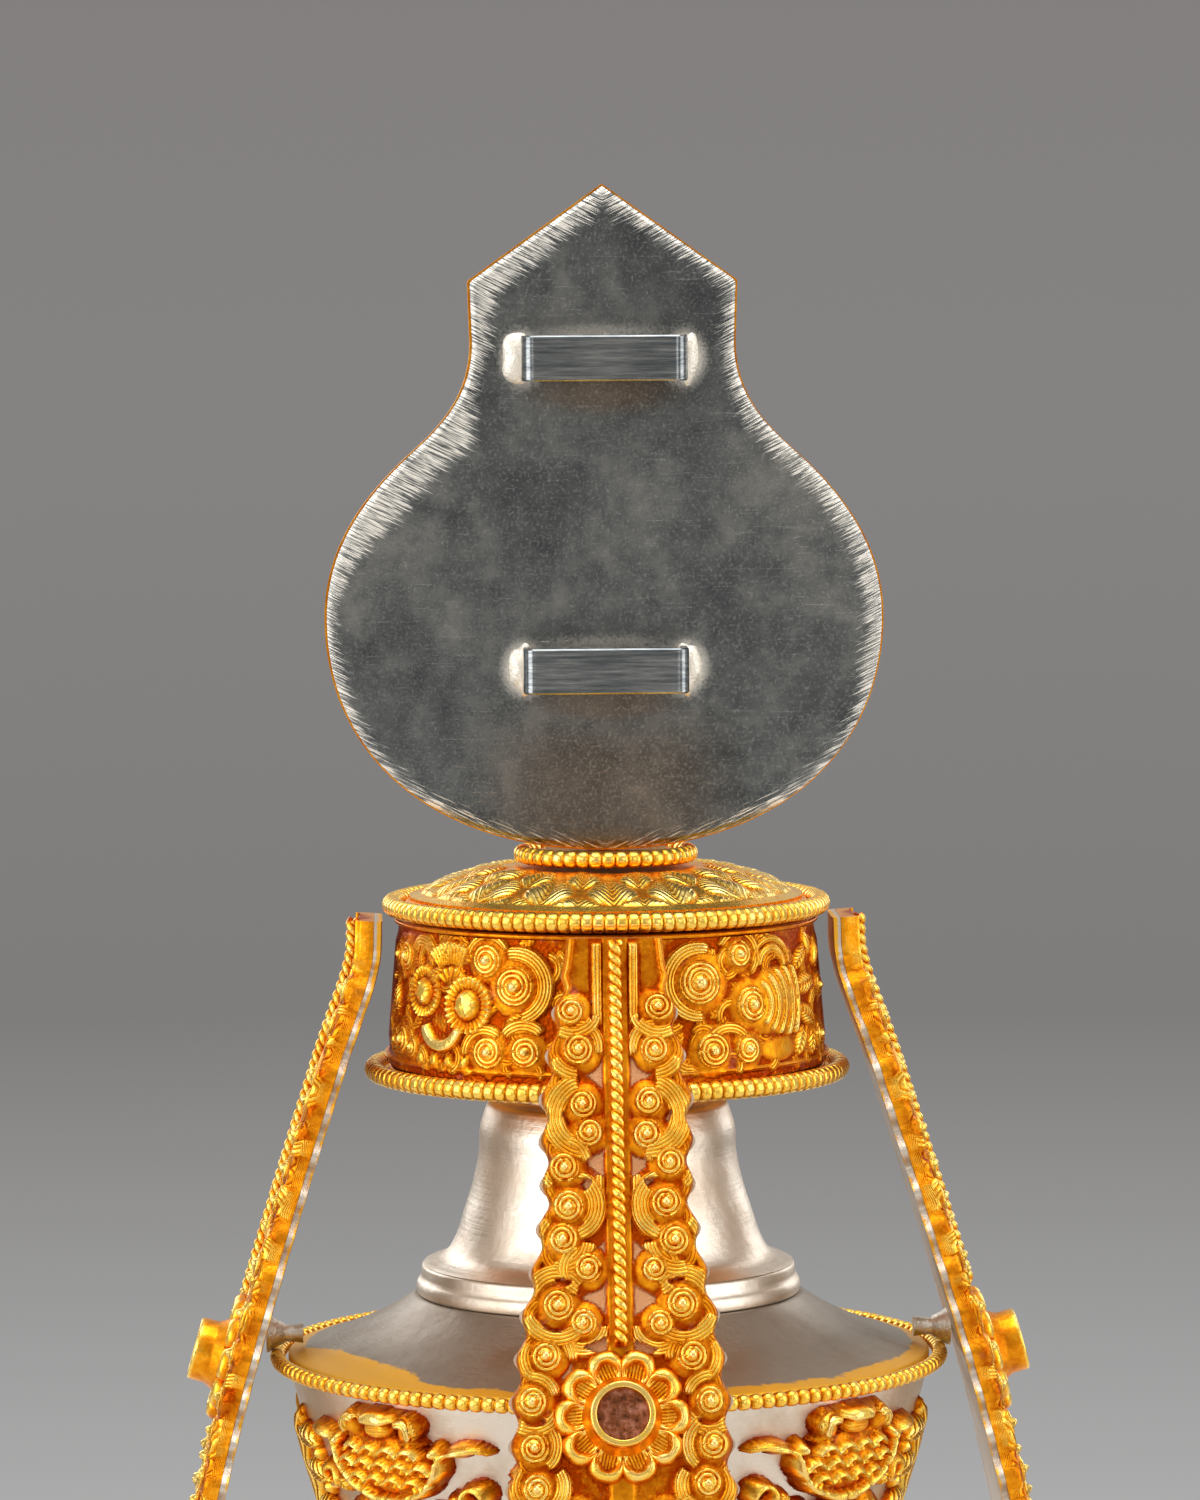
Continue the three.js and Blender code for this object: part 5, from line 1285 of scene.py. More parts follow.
class VASE_OT_lid(bpy.types.Operator):
    """Domed lid with leaves spreading from its middle"""

    bl_idname = "vase.lid"
    bl_label = "Lid"

    def execute(self, context):
        relief = sizes().lid_relief / MM
        columns, rows = 768, 74
        edge, rim, collar = lid_radius, lid_base + 1.6, 9.3
        line = bezier([(edge - 0.5, rim), (edge - 4.0, rim + (lid_top - rim) * 0.40),
                       (collar + 4.0, lid_top - 0.55), (collar, lid_top - 0.2)], rows)
        angle = np.arange(columns)[None, :] / columns * math.tau + np.zeros((rows, 1))
        radius = line[:, :1] + 0 * angle
        inward = edge - radius
        span = edge - collar
        work = Relief(angle, inward, relief, seed=8)
        work.skin(0.30, 0.12)
        # Three rows of leaves: each leaf is drawn in its own sector, seen from the rim
        sector = math.tau / 16
        for root, long, wide, start, lift in (
                (span - 0.2, 5.4, 3.8, 0.5, 0.85), (span - 3.2, 6.2, 5.6, 0.0, 1.0),
                (span - 7.0, 4.8, 6.4, 0.5, 0.8)):
            place = angle / sector + 0.5 + start
            sway = 0.35 * np.sin(np.floor(place) * 2.3)
            row = Relief((place % 1 - 0.5) * sector * radius + sway * (inward - 6) * 0.25, inward, relief)
            row.leaf(0, root, -90, long, wide, lift, blunt=1.2, ribs=0.6, vein=0.4, pitch=2.0)
            pair(row.swell, (wide * 0.26, root - long * 0.62, wide * 0.20, long * 0.28, lift * 1.08))
            work.lay(row.height / relief, line=row.line, cut=row.cut)
        uneven = soften(np.random.default_rng(5).normal(0, 1, (rows, columns)), 9, True)
        uneven = uneven / np.abs(uneven).max()
        work.height = work.height * (1 + 0.30 * uneven) + 0.10 * uneven
        work.flatten(smooth(inward, 1.9, 1.5), 0.5)
        values = work.values(0.16, relief, wrap=True)
        # Painted light: the whole lid's gilding painted lighter, as painted highlight
        values["tone"] = np.clip(values["tone"] * 0.8 + 0.36, 0, 1)
        level = line[:, 1:] + work.height * 0.9
        outer = np.stack([radius * np.cos(angle), radius * np.sin(angle), level], -1)
        before = eased([
            (edge - 2.0, lid_base), (edge, lid_base), (edge, rim - 0.4), (edge - 0.5, rim)], 0.25)[:-1]
        after = [(collar - 1.0, lid_top - 0.2), (0, lid_top - 0.2), (0, lid_top - 1.0),
                 (collar - 1.0, lid_top - 1.0), (edge - 5.0, rim), (edge - 2.2, lid_base + 0.2)]
        rings = np.concatenate([rings_of(before, columns), outer, rings_of(after, columns)])
        values = padded(values, len(before), len(after), 0.5)
        piece = turned_piece("lid_cover", rings, "fire_gilding", values, weld=True, crease=60)
        place_piece(piece, "lid", "lid_dome")
        return {"FINISHED"}


# The plaque's outline, as in the solid: a round belly, a drawn-in throat and a pointed top

plaque_low, plaque_high = (corner.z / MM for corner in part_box("plaque_back"))
plaque_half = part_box("plaque_back")[1].x / MM
plaque_back_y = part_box("plaque_back")[0].y / MM
plaque_face_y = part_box("plaque_front")[0].y / MM + 2.5
PLAQUE_THROAT = 13.0


def plaque_outline(margin, count=60):
    """The right half of the outline from the bottom to the tip, as points (across, height)."""
    belly = plaque_half + margin
    throat = PLAQUE_THROAT + margin

    def at(share):
        return plaque_low + (plaque_high - plaque_low) * share

    corner = (throat + 0.2, at(0.857) + margin * 0.3)
    stretches = (
        ((0, plaque_low - margin), (belly * 0.58, plaque_low - margin), (belly, at(0.13)), (belly, at(0.35))),
        ((belly, at(0.35)), (belly, at(0.463)), (belly * 0.84, at(0.543)), (belly * 0.675, at(0.605))),
        ((belly * 0.675, at(0.605)), (belly * 0.55, at(0.651)), (throat, at(0.698)), (throat, at(0.766))),
        ((throat, at(0.766)), corner))
    lines = [bezier(points, count if len(points) > 2 else count // 2)[:-1] for points in stretches]
    return np.concatenate([*lines, bezier([corner, (0, plaque_high + margin)], count)])


def plaque_grid(margin, rows, columns):
    """Places over the plaque's outline: across and up, row by row, with rows closest at the bottom."""
    outline = plaque_outline(margin)
    share = np.linspace(0, 1, rows)
    share -= 0.021 * np.sin(share * math.tau) * (share < 0.5)
    levels = outline[0, 1] + (outline[-1, 1] - outline[0, 1]) * share
    levels[0] += 0.02
    levels[-1] -= 0.02
    half = np.interp(levels, outline[:, 1], outline[:, 0])
    across = np.linspace(-1, 1, columns)[None, :] * half[:, None]
    return across, levels[:, None] + 0 * across


def nearest_on_outline(across, up, margin):
    """For each place, how far the outline is and how far along the outline that is."""
    right = plaque_outline(margin, 16)
    loop = np.concatenate([right, right[::-1][1:] * [-1, 1]])
    best, along = np.full(across.shape, 1e9), np.zeros(across.shape)
    run = 0.0
    for start, end in zip(loop, loop[1:]):
        step = end - start
        length_here = np.linalg.norm(step)
        share = np.clip(((across - start[0]) * step[0] + (up - start[1]) * step[1]) / length_here**2, 0, 1)
        away = np.hypot(across - start[0] - share * step[0], up - start[1] - share * step[1])
        along = np.where(away < best, run + share * length_here, along)
        best = np.minimum(best, away)
        run += length_here
    return best, along


def plaque_sheet(name, across, up, level, depth, columns, finish_name, values, crease):
    """A sheet of the plaque: its worked side lies at a level along Y, and its plain side faces away."""
    picked = across[:, columns]
    front = np.stack([across, level, up], -1)
    back = np.stack([picked, 0 * picked + depth, up[:, :5]], -1)
    return sheet_piece(name, front, back, finish_name, values, crease=crease)


class VASE_OT_plaque_back(bpy.types.Operator):
    """Plain rolled silver sheet behind the plaque, worked with a file at its edge, with painted highlight and
    a painted shadow under each loop
    """

    bl_idname = "vase.plaque_back"
    bl_label = "Plaque back"

    def execute(self, context):
        across, up = plaque_grid(0.0, 180, 140)
        inward, _ = nearest_on_outline(across, up, 0.0)
        rise = up - plaque_low
        round_off = 0.25 * smooth(inward, 0.45, 0.0)
        dish = 0.05 * np.sin(across / 9.0) * np.sin(rise / 11.0) * smooth(inward, 0, 4)
        # The edge was worked with a file; its bright band is painted widest at the upper left as painted
        # highlight, and least along the bottom
        upper_left = 2.5 * smooth(rise, 24, 34) * smooth(rise, 47, 40) + 1.7 * smooth(rise, 44, 58)
        filed = 0.8 + smooth(across, 6, -12) * upper_left - 0.35 * smooth(rise, 6, 0)
        filed += 0.75 * smooth(across, 8, 18) * smooth(rise, 12, 22) + 0.3 * smooth(rise, 55, 62)
        frost, shadow = np.zeros_like(across), np.zeros_like(across)
        for node in ("upper_loop", "lower_loop"):
            low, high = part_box(node)
            middle, half = (low.z + high.z) / 2 / MM, (high.x - low.x) / 2 / MM
            solder = np.hypot((np.abs(across) - half + 0.2) / 2.6, (up - middle) / 3.2)
            above, under = (np.hypot(across / (half + 1.0), (up - middle + drop) / tall)
                            for drop, tall in ((-2.2, 1.3), (3.2, 3.0)))
            frost = np.maximum(frost, 0.95 * smooth(solder, 1.15, 0.45))
            frost = np.maximum(frost, 0.40 * smooth(above, 1.2, 0.3))
            shadow = np.maximum(shadow, smooth(under, 1.1, 0.3))
        # A brown patch low in the middle, with the painted shadow under each loop
        warmth = np.maximum(smooth(rise, 17, 7) * smooth(np.abs(across), 16, 4) * 0.9, shadow)
        piece = plaque_sheet(
            "plaque_back_sheet", across, up, plaque_back_y + round_off + dish, plaque_back_y + 1.0,
            [0, 35, 70, 104, 139], "rolled_silver",
            {"inward": inward, "filed": filed, "frost": frost, "warmth": warmth}, 40)
        place_piece(piece, "lid", "plaque_back")
        return {"FINISHED"}


def loop_section(depth, half, strip, bend, steps=10):
    """A bent strip's section in XY: its outer line and its inner line, each from foot to foot."""
    for inset in (0.0, strip):
        radius = max(bend - inset, 0.12)
        x, y = half - inset - radius, -depth + inset + radius
        turn = np.linspace(0, math.pi / 2, steps)
        left = [(-x - radius * math.cos(a), y - radius * math.sin(a)) for a in turn]
        right = [(-x, y) for x, y in left[::-1]]
        yield np.array([(-half + inset, 0.25), *left, *right, (half - inset, 0.25)])


def solder_mound(x, z, half_width, half_height, proud, seed):
    """A frosted mound of solder on the plaque's back, as a closed low dome."""
    rings, columns = 9, 28
    chance = np.random.default_rng(seed)
    angle = np.arange(columns) / columns * math.tau
    wobble = 1 + 0.10 * np.sin(angle * 3 + chance.uniform(0, 6))
    wobble += 0.06 * np.sin(angle * 5 + chance.uniform(0, 6))
    tilt = np.arange(rings)[:, None] / rings * math.pi / 2
    reach = np.cos(tilt) ** 0.9 * wobble
    seat = plaque_back_y + 0.1
    dome = np.stack([
        x + half_width * reach * np.cos(angle), seat - proud * np.sin(tilt) ** 1.4 + 0 * reach,
        z + half_height * reach * np.sin(angle)], -1)
    points = np.concatenate([dome.reshape(-1, 3), [[x, seat - proud, z], [x, seat + 0.1, z]]])
    top, bottom = rings * columns, rings * columns + 1
    last = (rings - 1) * columns
    caps = [(last + i, last + (i + 1) % columns, top) for i in range(columns)]
    caps += [((i + 1) % columns, i, bottom) for i in range(columns)]
    quads = grid_faces(rings, columns, close_columns=True)
    return make_piece("solder", points, quads, "drawn_silver_strip", {"frost": np.ones(len(points))}, caps)


class VASE_OT_plaque_loops(bpy.types.Operator):
    """Two silver strips bent into square loops and soldered to the plaque's back"""

    bl_idname = "vase.plaque_loops"
    bl_label = "Plaque loops"

    def execute(self, context):
        ease = 0.14
        for number, node in enumerate(("upper_loop", "lower_loop")):
            low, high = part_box(node)
            half, foot = high.x / MM, high.y / MM
            bottom, top = low.z / MM, high.z / MM
            outer, inner = loop_section((high.y - low.y) / MM, half, 0.8, 1.4)
            # Round the strip's section: how far through the strip, and the height
            around = []
            for through, level in (
                    (0, bottom + ease), (0, top - ease), (0.15, top), (0.85, top), (1, top - ease),
                    (1, bottom + ease), (0.85, bottom), (0.15, bottom)):
                line = outer * (1 - through) + inner * through
                around.append(np.column_stack([line[:, 0], line[:, 1] + foot, np.full(len(line), level)]))
            ring = np.stack(around, 1)
            sections, sides = ring.shape[:2]
            quads = grid_faces(sections, sides, close_columns=True)
            ends = [list(range(sides))[::-1], [(sections - 1) * sides + i for i in range(sides)]]
            frost = smooth(ring[..., 1], foot - 0.9, foot - 0.1)
            parts = [make_piece(node, ring, quads, "drawn_silver_strip", {"frost": frost}, ends, crease=35)]
            for side in (-1, 1):
                wide = 1.9 if (number == 0 and side < 0) else 1.25
                seed = number * 7 + side + 3
                parts.append(solder_mound(side * (half + 0.1), (bottom + top) / 2, wide, 2.6, 0.9, seed))
            place_piece(joined(node + "_strip", *parts), "lid", node)
        return {"FINISHED"}


def seated_figure(work):
    """A calm seated figure on a lotus: generic, on textbook proportions."""
    # Lotus seat: petals above and below a rope of beads
    for k in range(-4, 5):
        work.leaf(k * 3.0, 7.0, 90 - k * 5, 3.6, 3.2, 1.5 - 0.05 * abs(k), blunt=0.6, ribs=0.7)
        work.leaf(k * 3.0 + 1.5 * (k < 4), 6.4, -90 + k * 4, 3.6, 3.2, 1.35, blunt=0.6, ribs=0.7)
    for k in range(-14, 15):
        work.boss(k * 0.93, 6.7, 0.48, 0.42, 1.75)
    # Crossed legs and feet, then the lap, the body and its shoulders, arms and hands
    pair(work.swell, (6.6, 13.0, 5.6, 2.7, 2.6, -0.20), (2.6, 12.3, 4.2, 1.9, 2.9, 0.25),
         (3.4, 12.6, 2.2, 1.0, 3.3, 0.12))
    each(work.swell, (0, 15.4, 5.2, 2.0, 2.4), (0, 20.2, 3.9, 5.4, 2.6), (0, 24.8, 5.9, 3.6, 2.9))
    pair(work.swell, (5.9, 26.2, 2.0, 1.9, 2.6), (7.0, 22.6, 1.55, 4.2, 2.3, 0.22),
         (5.2, 17.9, 4.0, 1.4, 2.9, -0.42), (1.9, 16.2, 1.9, 1.1, 3.4, -0.15))
    # The neck, and the small vase in the lap with its leaf-shaped finial
    each(work.swell, (0, 28.8, 1.5, 1.8, 2.4), (0, 18.2, 1.45, 1.5, 4.0))
    work.boss(0, 20.0, 0.7, 0.35, 3.9)
    work.leaf(0, 20.1, 90, 2.2, 1.3, 3.7)
    # Head, ears, face, crown and topknot
    work.swell(0, 33.6, 2.75, 3.65, 3.3)
    pair(work.swell, (2.95, 32.6, 0.5, 1.7, 2.4), (1.05, 34.2, 0.62, 0.26, 3.55, 0, 0.1),
         (1.1, 34.95, 0.75, 0.12, 3.5, -0.15, 0.1), (1.25, 32.5, 0.8, 0.7, 3.3, 0, 0.2))
    each(work.swell, (0, 33.3, 0.34, 1.0, 3.75, 0, 0.15), (0, 31.85, 0.72, 0.2, 3.55, 0, 0.1),
         (0, 31.45, 0.55, 0.18, 3.5, 0, 0.1), (0, 30.6, 0.75, 0.5, 3.2, 0, 0.2))
    for k in range(-2, 3):
        work.leaf(k * 1.15, 36.2 - 0.18 * k * k, 90 - k * 12, 2.4, 1.25, 3.4, ribs=0.4)
    each(work.swell, (0, 38.2, 1.5, 1.5, 2.9), (0, 40.2, 0.8, 1.0, 2.6))
    # Necklaces and belt, then armlets and scarf
    each(work.bow, ((-2.6, 27.4), (2.6, 27.4), -1.82, 0.45, 3.35),
         ((-3.9, 27.4), (3.9, 27.4), -2.73, 0.45, 3.15), ((-3.4, 17.6), (3.4, 17.6), -0.4, 0.5, 3.0),
         taper=0, lines=0)
    pair(work.bow, ((5.7, 24.0), (8.3, 23.4), 0.3, 0.5, 2.9, 0, 0),
         ((5.6, 28.2), (9.8, 19.0), 2.2, 0.9, 1.5, 0.3), ((9.8, 19.2), (13.0, 11.2), -1.4, 0.9, 1.3))


# Scrolling foliage up one side of the plaque: distance from the middle, height, radius, hand
PLAQUE_SCROLLS = (
    (21.6, 24.5, 2.7, 1), (22.6, 17.6, 2.3, -1), (19.4, 11.6, 2.3, 1), (14.6, 7.0, 1.7, -1),
    (19.6, 30.8, 2.2, -1), (15.6, 36.2, 1.9, 1), (11.6, 40.4, 1.7, -1), (9.8, 45.4, 1.6, 1),
    (9.9, 50.6, 1.6, -1), (7.4, 54.6, 1.3, 1))
# Leaves between them: distance from the middle, height, heading
PLAQUE_LEAVES = (
    (17.6, 22.6, 170), (18.6, 15.0, 200), (15.4, 29.4, 150), (8.2, 4.6, 200), (5.6, 49.0, 60),
    (24.3, 28.0, 80), (24.6, 20.8, 270), (12.2, 3.9, 160), (4.4, 44.6, 110))


def plaque_field(work):
    """Halo, rays, foliage and jewel round the figure."""
    dx, dy = work.near(0, 34.0)
    away = np.hypot(dx, dy)
    work.lay(0.55 * smooth(away, 7.9, 7.6))
    work.lay(0.8 + 0.12 * np.cos(np.arctan2(dy, dx) * 44), (away > 4.3) & (away < 6.9))
    dx, dy = work.near(0, 22.0)
    away = np.hypot(dx, dy)
    work.lay(0.42 + 0.10 * np.cos(np.arctan2(dy, dx) * 60), (away < 13.6) & (work.up > 8))
    work.lay(0.9 * np.clip(1 - ((away - 14.3) / 0.75) ** 2, 0, 1) ** 0.5, work.up > 9.5)
    for turn in np.radians(np.linspace(-42, 222, 46)):
        x, y = 15.6 * math.cos(turn), 22.0 + 15.6 * math.sin(turn)
        if y < 36.2 or abs(x) > 8.6:
            work.leaf(x, y, math.degrees(turn + 0.5), 2.6, 1.5, 0.95, ribs=0.7)
    for turn in np.arange(28) / 28 * math.tau:
        work.boss(7.6 * math.cos(turn), 34.0 + 7.6 * math.sin(turn), 0.55, 0.55, 1.25)
    for i, (x, y, radius, hand) in enumerate(PLAQUE_SCROLLS):
        pair(work.scroll, (x, y, radius, 1.5, hand, 0.13 * i))
    for (x0, y0, _, hand), (x1, y1, _, _) in zip(PLAQUE_SCROLLS, PLAQUE_SCROLLS[1:]):
        if math.hypot(x1 - x0, y1 - y0) < 9:
            pair(work.bow, ((x0, y0), (x1, y1), hand * 1.9, 1.3, 1.0, 0.5))
    pair(work.leaf, *((*place, 3.0, 1.5, 1.0) for place in PLAQUE_LEAVES))
    # Jewel with flames at the top, and a row of leaves along the bottom
    for k in range(-3, 4):
        work.leaf(k * 0.9, 52.0, 90 - k * 17, 6.4 - abs(k) * 0.8, 1.7, 1.25, ribs=0.5)
        work.leaf(k * 1.6, 2.2 + 0.06 * k * k, 90 - k * 8, 2.4, 1.7, 1.0)
    work.swell(0, 52.4, 1.9, 2.0, 2.5)
    work.bow((-3.4, 49.4), (3.4, 49.4), -1.1, 1.1, 1.5)


class VASE_OT_plaque_face(bpy.types.Operator):
    """Gilt face of the plaque with a seated figure in low relief"""

    bl_idname = "vase.plaque_face"
    bl_label = "Plaque face"

    def execute(self, context):
        margin = 0.25
        across, up = (places[:, ::-1] for places in plaque_grid(margin, 330, 262))
        work = Relief(across, up - plaque_low)
        plaque_field(work)
        seated_figure(work)
        inward, run = nearest_on_outline(across, up, margin)
        rim = 0.8 * np.clip(1 - ((inward - 0.85) / 0.95) ** 4, 0, 1) ** 0.5
        beads = np.abs(np.sin(run * math.pi)) ** 0.6
        beads = 0.65 * np.clip(1 - ((inward - 2.45) / 0.5) ** 2, 0, 1) ** 0.5 * beads
        work.flatten(smooth(inward, 3.1, 2.7), 0.0)
        work.lay(np.maximum(rim, beads))
        values = work.values(0.21, 2.4, hollow=1.0)
        # Painted highlight along the plaque's outer rim
        values["tone"] = np.maximum(values["tone"], 0.55 * smooth(inward, 0.6, 0.2))
        level = plaque_face_y + work.height - 0.55 * smooth(inward, 0.4, 0.0)
        piece = plaque_sheet(
            "plaque_face", across, up, level, plaque_face_y - 2.5, [0, 65, 131, 196, 261], "fire_gilding",
            values, 60)
        place_piece(piece, "lid", "plaque_front")
        return {"FINISHED"}


# Scrolls down one side of a strap: drop below the top, distance from the middle, radius, hand
STRAP_SCROLLS = [
    (7.35, 4.15, 1.5, 1), (11.05, 3.8, 1.55, 1), (15.9, 3.15, 1.4, -1), (18.9, 2.95, 1.45, 1),
    (21.8, 5.1, 1.55, -1), (25.5, 4.65, 1.5, 1), (28.7, 5.55, 1.5, -1), (31.4, 3.2, 1.45, 1),
    (34.5, 6.0, 1.6, -1), (36.4, 3.55, 1.4, 1), (39.4, 7.0, 1.55, -1), (43.35, 8.4, 1.5, 1),
    (47.4, 8.5, 1.55, -1), (51.1, 8.0, 1.55, 1), (54.2, 4.6, 1.6, -1), (55.2, 9.3, 1.5, 1),
    (58.0, 6.5, 1.5, 1), (59.3, 10.2, 1.5, -1), (61.6, 3.4, 1.6, 1), (63.3, 9.3, 1.6, 1),
    (65.6, 5.8, 1.6, -1), (67.6, 8.8, 1.45, -1), (69.3, 3.2, 1.5, 1), (71.2, 6.3, 1.4, 1),
    (74.2, 3.3, 1.4, -1), (77.3, 1.5, 1.1, 1)]
# Bands of arcs: drop and distance of their middle, two radii, and two headings from outwards to upwards
STRAP_COILS = [
    (7.35, 4.15, 1.6, 2.9, 190, 310), (11.05, 3.8, 1.6, 2.6, 85, 200), (11.05, 3.8, 1.6, 2.9, -95, -20),
    (17.3, 3.0, 1.9, 4.1, -105, 85), (21.8, 5.1, 1.6, 2.6, 95, 175), (21.8, 5.1, 1.6, 2.6, -60, 30),
    (25.5, 4.65, 1.6, 3.4, 100, 262), (28.7, 5.55, 1.6, 3.5, 180, 295), (28.7, 5.55, 1.5, 2.5, -30, 60),
    (31.4, 3.2, 1.5, 2.6, -75, 75), (34.5, 6.0, 1.7, 3.4, 10, 150), (34.5, 6.0, 2.2, 3.8, 212, 345),
    (36.4, 3.55, 1.5, 2.8, 180, 305), (39.4, 7.0, 1.6, 2.9, 75, 190), (39.4, 7.0, 1.6, 2.6, -70, 40),
    (43.35, 8.4, 1.8, 3.2, 195, 325), (43.35, 8.4, 1.6, 2.6, 80, 170), (47.4, 8.5, 1.6, 2.8, 100, 240),
    (51.1, 8.0, 1.6, 3.0, 140, 265), (51.1, 8.0, 1.6, 3.0, -70, 50), (55.6, 7.2, 2.2, 4.0, 95, 220),
    (58.9, 8.2, 2.4, 4.0, 185, 335), (61.6, 3.4, 1.7, 3.1, -85, 95), (65.6, 5.8, 1.7, 3.3, 105, 255),
    (67.6, 8.8, 1.6, 2.8, 195, 325), (69.3, 3.2, 1.6, 2.8, 185, 305), (72.6, 4.8, 1.9, 3.2, 115, 245)]
# Three-cornered recesses beside the wire: drop, how far out they start, how far they reach, half height
STRAP_NOTCHES = [
    (7.4, 2.15, 1.0, 1.3), (13.3, 1.3, 2.1, 1.7), (17.4, 1.3, 0.9, 1.4), (21.4, 1.3, 1.9, 1.5),
    (30.2, 1.3, 2.0, 1.6), (34.0, 1.3, 2.6, 1.5), (38.7, 1.3, 2.4, 1.0), (41.0, 4.6, 2.0, 1.1),
    (57.0, 0.6, 2.6, 1.8), (64.6, 0.4, 2.4, 1.7), (72.0, 0.3, 2.0, 1.6)]
# Recesses with a straight upper edge: drop, distance from the middle, half width, half height
STRAP_LENSES = [
    (17.4, 4.55, 0.75, 0.55), (23.6, 3.4, 0.9, 0.6), (27.2, 4.5, 1.25, 0.42), (32.6, 5.4, 0.9, 0.4),
    (36.7, 6.3, 1.35, 0.42), (45.3, 8.3, 1.2, 0.42), (53.2, 7.2, 1.2, 0.42), (57.3, 9.0, 1.1, 0.4),
    (61.2, 7.6, 1.2, 0.42), (65.4, 8.3, 1.0, 0.4), (69.4, 6.2, 1.1, 0.4)]
WIRE_MARGIN = 1.3
TAB_LENGTH = 5.5


def strap_work(drop, across, relief, seed):
    """The scrolls, bands and recesses on one strap, with the hand's small unevenness."""
    work = Relief(across, -drop, relief, seed)
    chance = work.chance
    away = np.abs(across)
    work.skin(0.12, 0.08)
    for at in np.arange(8.0, 80.0, 3.1):
        half = float(strap_half_width(at))
        if half > 4:
            pair(work.coil, (half - 2.2, -at, 1.0, 2.3, -80, 80, 0.40))
    for side in (-1, 1):
        for at, x, inner, outer, start, end in STRAP_COILS:
            if x - inner < WIRE_MARGIN and start > 90:
                outer = min(outer, x - WIRE_MARGIN + 0.25)
            work.coil(x, -at, inner, outer + 0.25, start, end, chance.uniform(0.58, 0.68), side=side)
    pair(work.reed, (1.2, 2.3, -TAB_LENGTH - 3.4, -0.3, 0.55), (1.2, 2.3, -26.2, -22.6, 0.55))
    for side in (-1, 1):
        for at, root, reach, half in STRAP_NOTCHES:
            work.notch(root, -at + chance.uniform(-0.25, 0.25), reach, half, 0.04, side)
        for at, x, half_width, half_height in STRAP_LENSES:
            work.lens(x, -at, half_width, half_height, 0.02, 0.12, side)
        for at, x, radius, hand in STRAP_SCROLLS:
            outwards, up = chance.uniform(-0.26, 0.26, 2)
            radius *= chance.uniform(0.95, 1.08)
            work.scroll(x + outwards, up - at, radius, 1.0, hand, chance.uniform(0, 1), side)
    work.flatten(smooth(away, WIRE_MARGIN, WIRE_MARGIN - 0.2) * smooth(drop, 62, 58), 0.30)
    # The plain tab that is soldered to the drum, with its turned-up edges
    edge = strap_half_width(drop) - away
    tab = smooth(drop, TAB_LENGTH + 0.2, TAB_LENGTH - 0.2) * smooth(away, 2.45, 2.6)
    work.flatten(tab, 0.22 + 0.34 * smooth(edge, 0.75, 0.35))
    work.height = np.maximum(work.height, relief * 0.40 * smooth(edge, 1.1, 0.5))
    return work


def strap_grid(rows, columns, **scallop):
    """Places over a strap: the drop, the distance across and the distance from the edge."""
    drop = np.linspace(0.02, STRAP_LENGTH - gap, rows)[:, None] + np.zeros((1, columns))
    half = strap_half_width(drop, **scallop)
    across = half * np.linspace(-1, 1, columns)
    return drop, across, half - np.abs(across)


class VASE_OT_strap_faces(bpy.types.Operator):
    """Gilt scrolled sheets of the four straps"""

    bl_idname = "vase.strap_faces"
    bl_label = "Strap faces"

    def execute(self, context):
        relief = sizes().strap_relief / MM
        drop, across, edge = strap_grid(500, 116)
        rounded = smooth(edge, 0.0, 0.30)
        back = on_strap(drop[:, :4], across[:, [0, 38, 77, 115]], STRAP_BACK_SHEET + 0.03)
        for strap in range(1, STRAPS + 1):
            work = strap_work(drop, across, relief, seed=10 + strap)
            height = work.height * (0.4 + 0.6 * rounded) - 0.30 * (1 - rounded)
            front = on_strap(drop, across, STRAP_FACE + height)
            piece = sheet_piece(
                f"strap_face_{strap}", front, back, "fire_gilding", work.values(0.17, relief), crease=75)
            piece.data.transform(Matrix.Rotation((strap - 1) * math.pi / 2, 4, "Z"))
            place_piece(piece, "vase", f"strap_front_{strap}")
        return {"FINISHED"}


class VASE_OT_strap_linings(bpy.types.Operator):
    """Silver sheets behind the straps and the stays that hold them off the shoulder"""

    bl_idname = "vase.strap_linings"
    bl_label = "Strap linings and stays"

    def execute(self, context):
        drop, across, edge = strap_grid(240, 15, scallop=0.7)
        # The lining stops 0.1 mm inside its scallops
        inside = 1 - 0.1 / (edge + np.abs(across))
        across = across * inside
        edge = edge * inside
        face = on_strap(drop, across, 0.12 * smooth(edge, 1.6, 0.0))
        back = on_strap(drop, across, STRAP_BACK_SHEET)
        values = {"spill": np.maximum(smooth(edge, 0.9, 0.1) * 0.62, smooth(drop, 20, 8))}
        four_round(sheet_piece("strap_lining_1", face, back, "pickled_silver", values), "strap_back")
        low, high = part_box("strap_stay_1")
        radius, middle = (high.x - low.x) / 2 / MM, (low.z + high.z) / 2 / MM
        near, far = -high.y / MM, -low.y / MM
        away, thick = np.array([
            (near, 0.0), (near, 1.3), (near + 0.8, 1.15), (near + 1.8, 1.1), (far - 1.4, 1.3),
            (far - 0.6, 1.8), (far + 0.35, 2.6), (far + 0.35, 0.0)]).T[..., None]
        turn = np.arange(20) / 20 * math.tau
        thick = thick * radius
        rod = np.stack([thick * np.cos(turn), 0 * turn - away, middle + thick * np.sin(turn)], -1)
        frost = {"frost": np.full(rod.shape[:2], 0.8)}
        stay = turned_piece("strap_pin_1", rod, "drawn_silver_strip", frost, weld=True, crease=60)
        four_round(stay, "strap_stay")
        return {"FINISHED"}


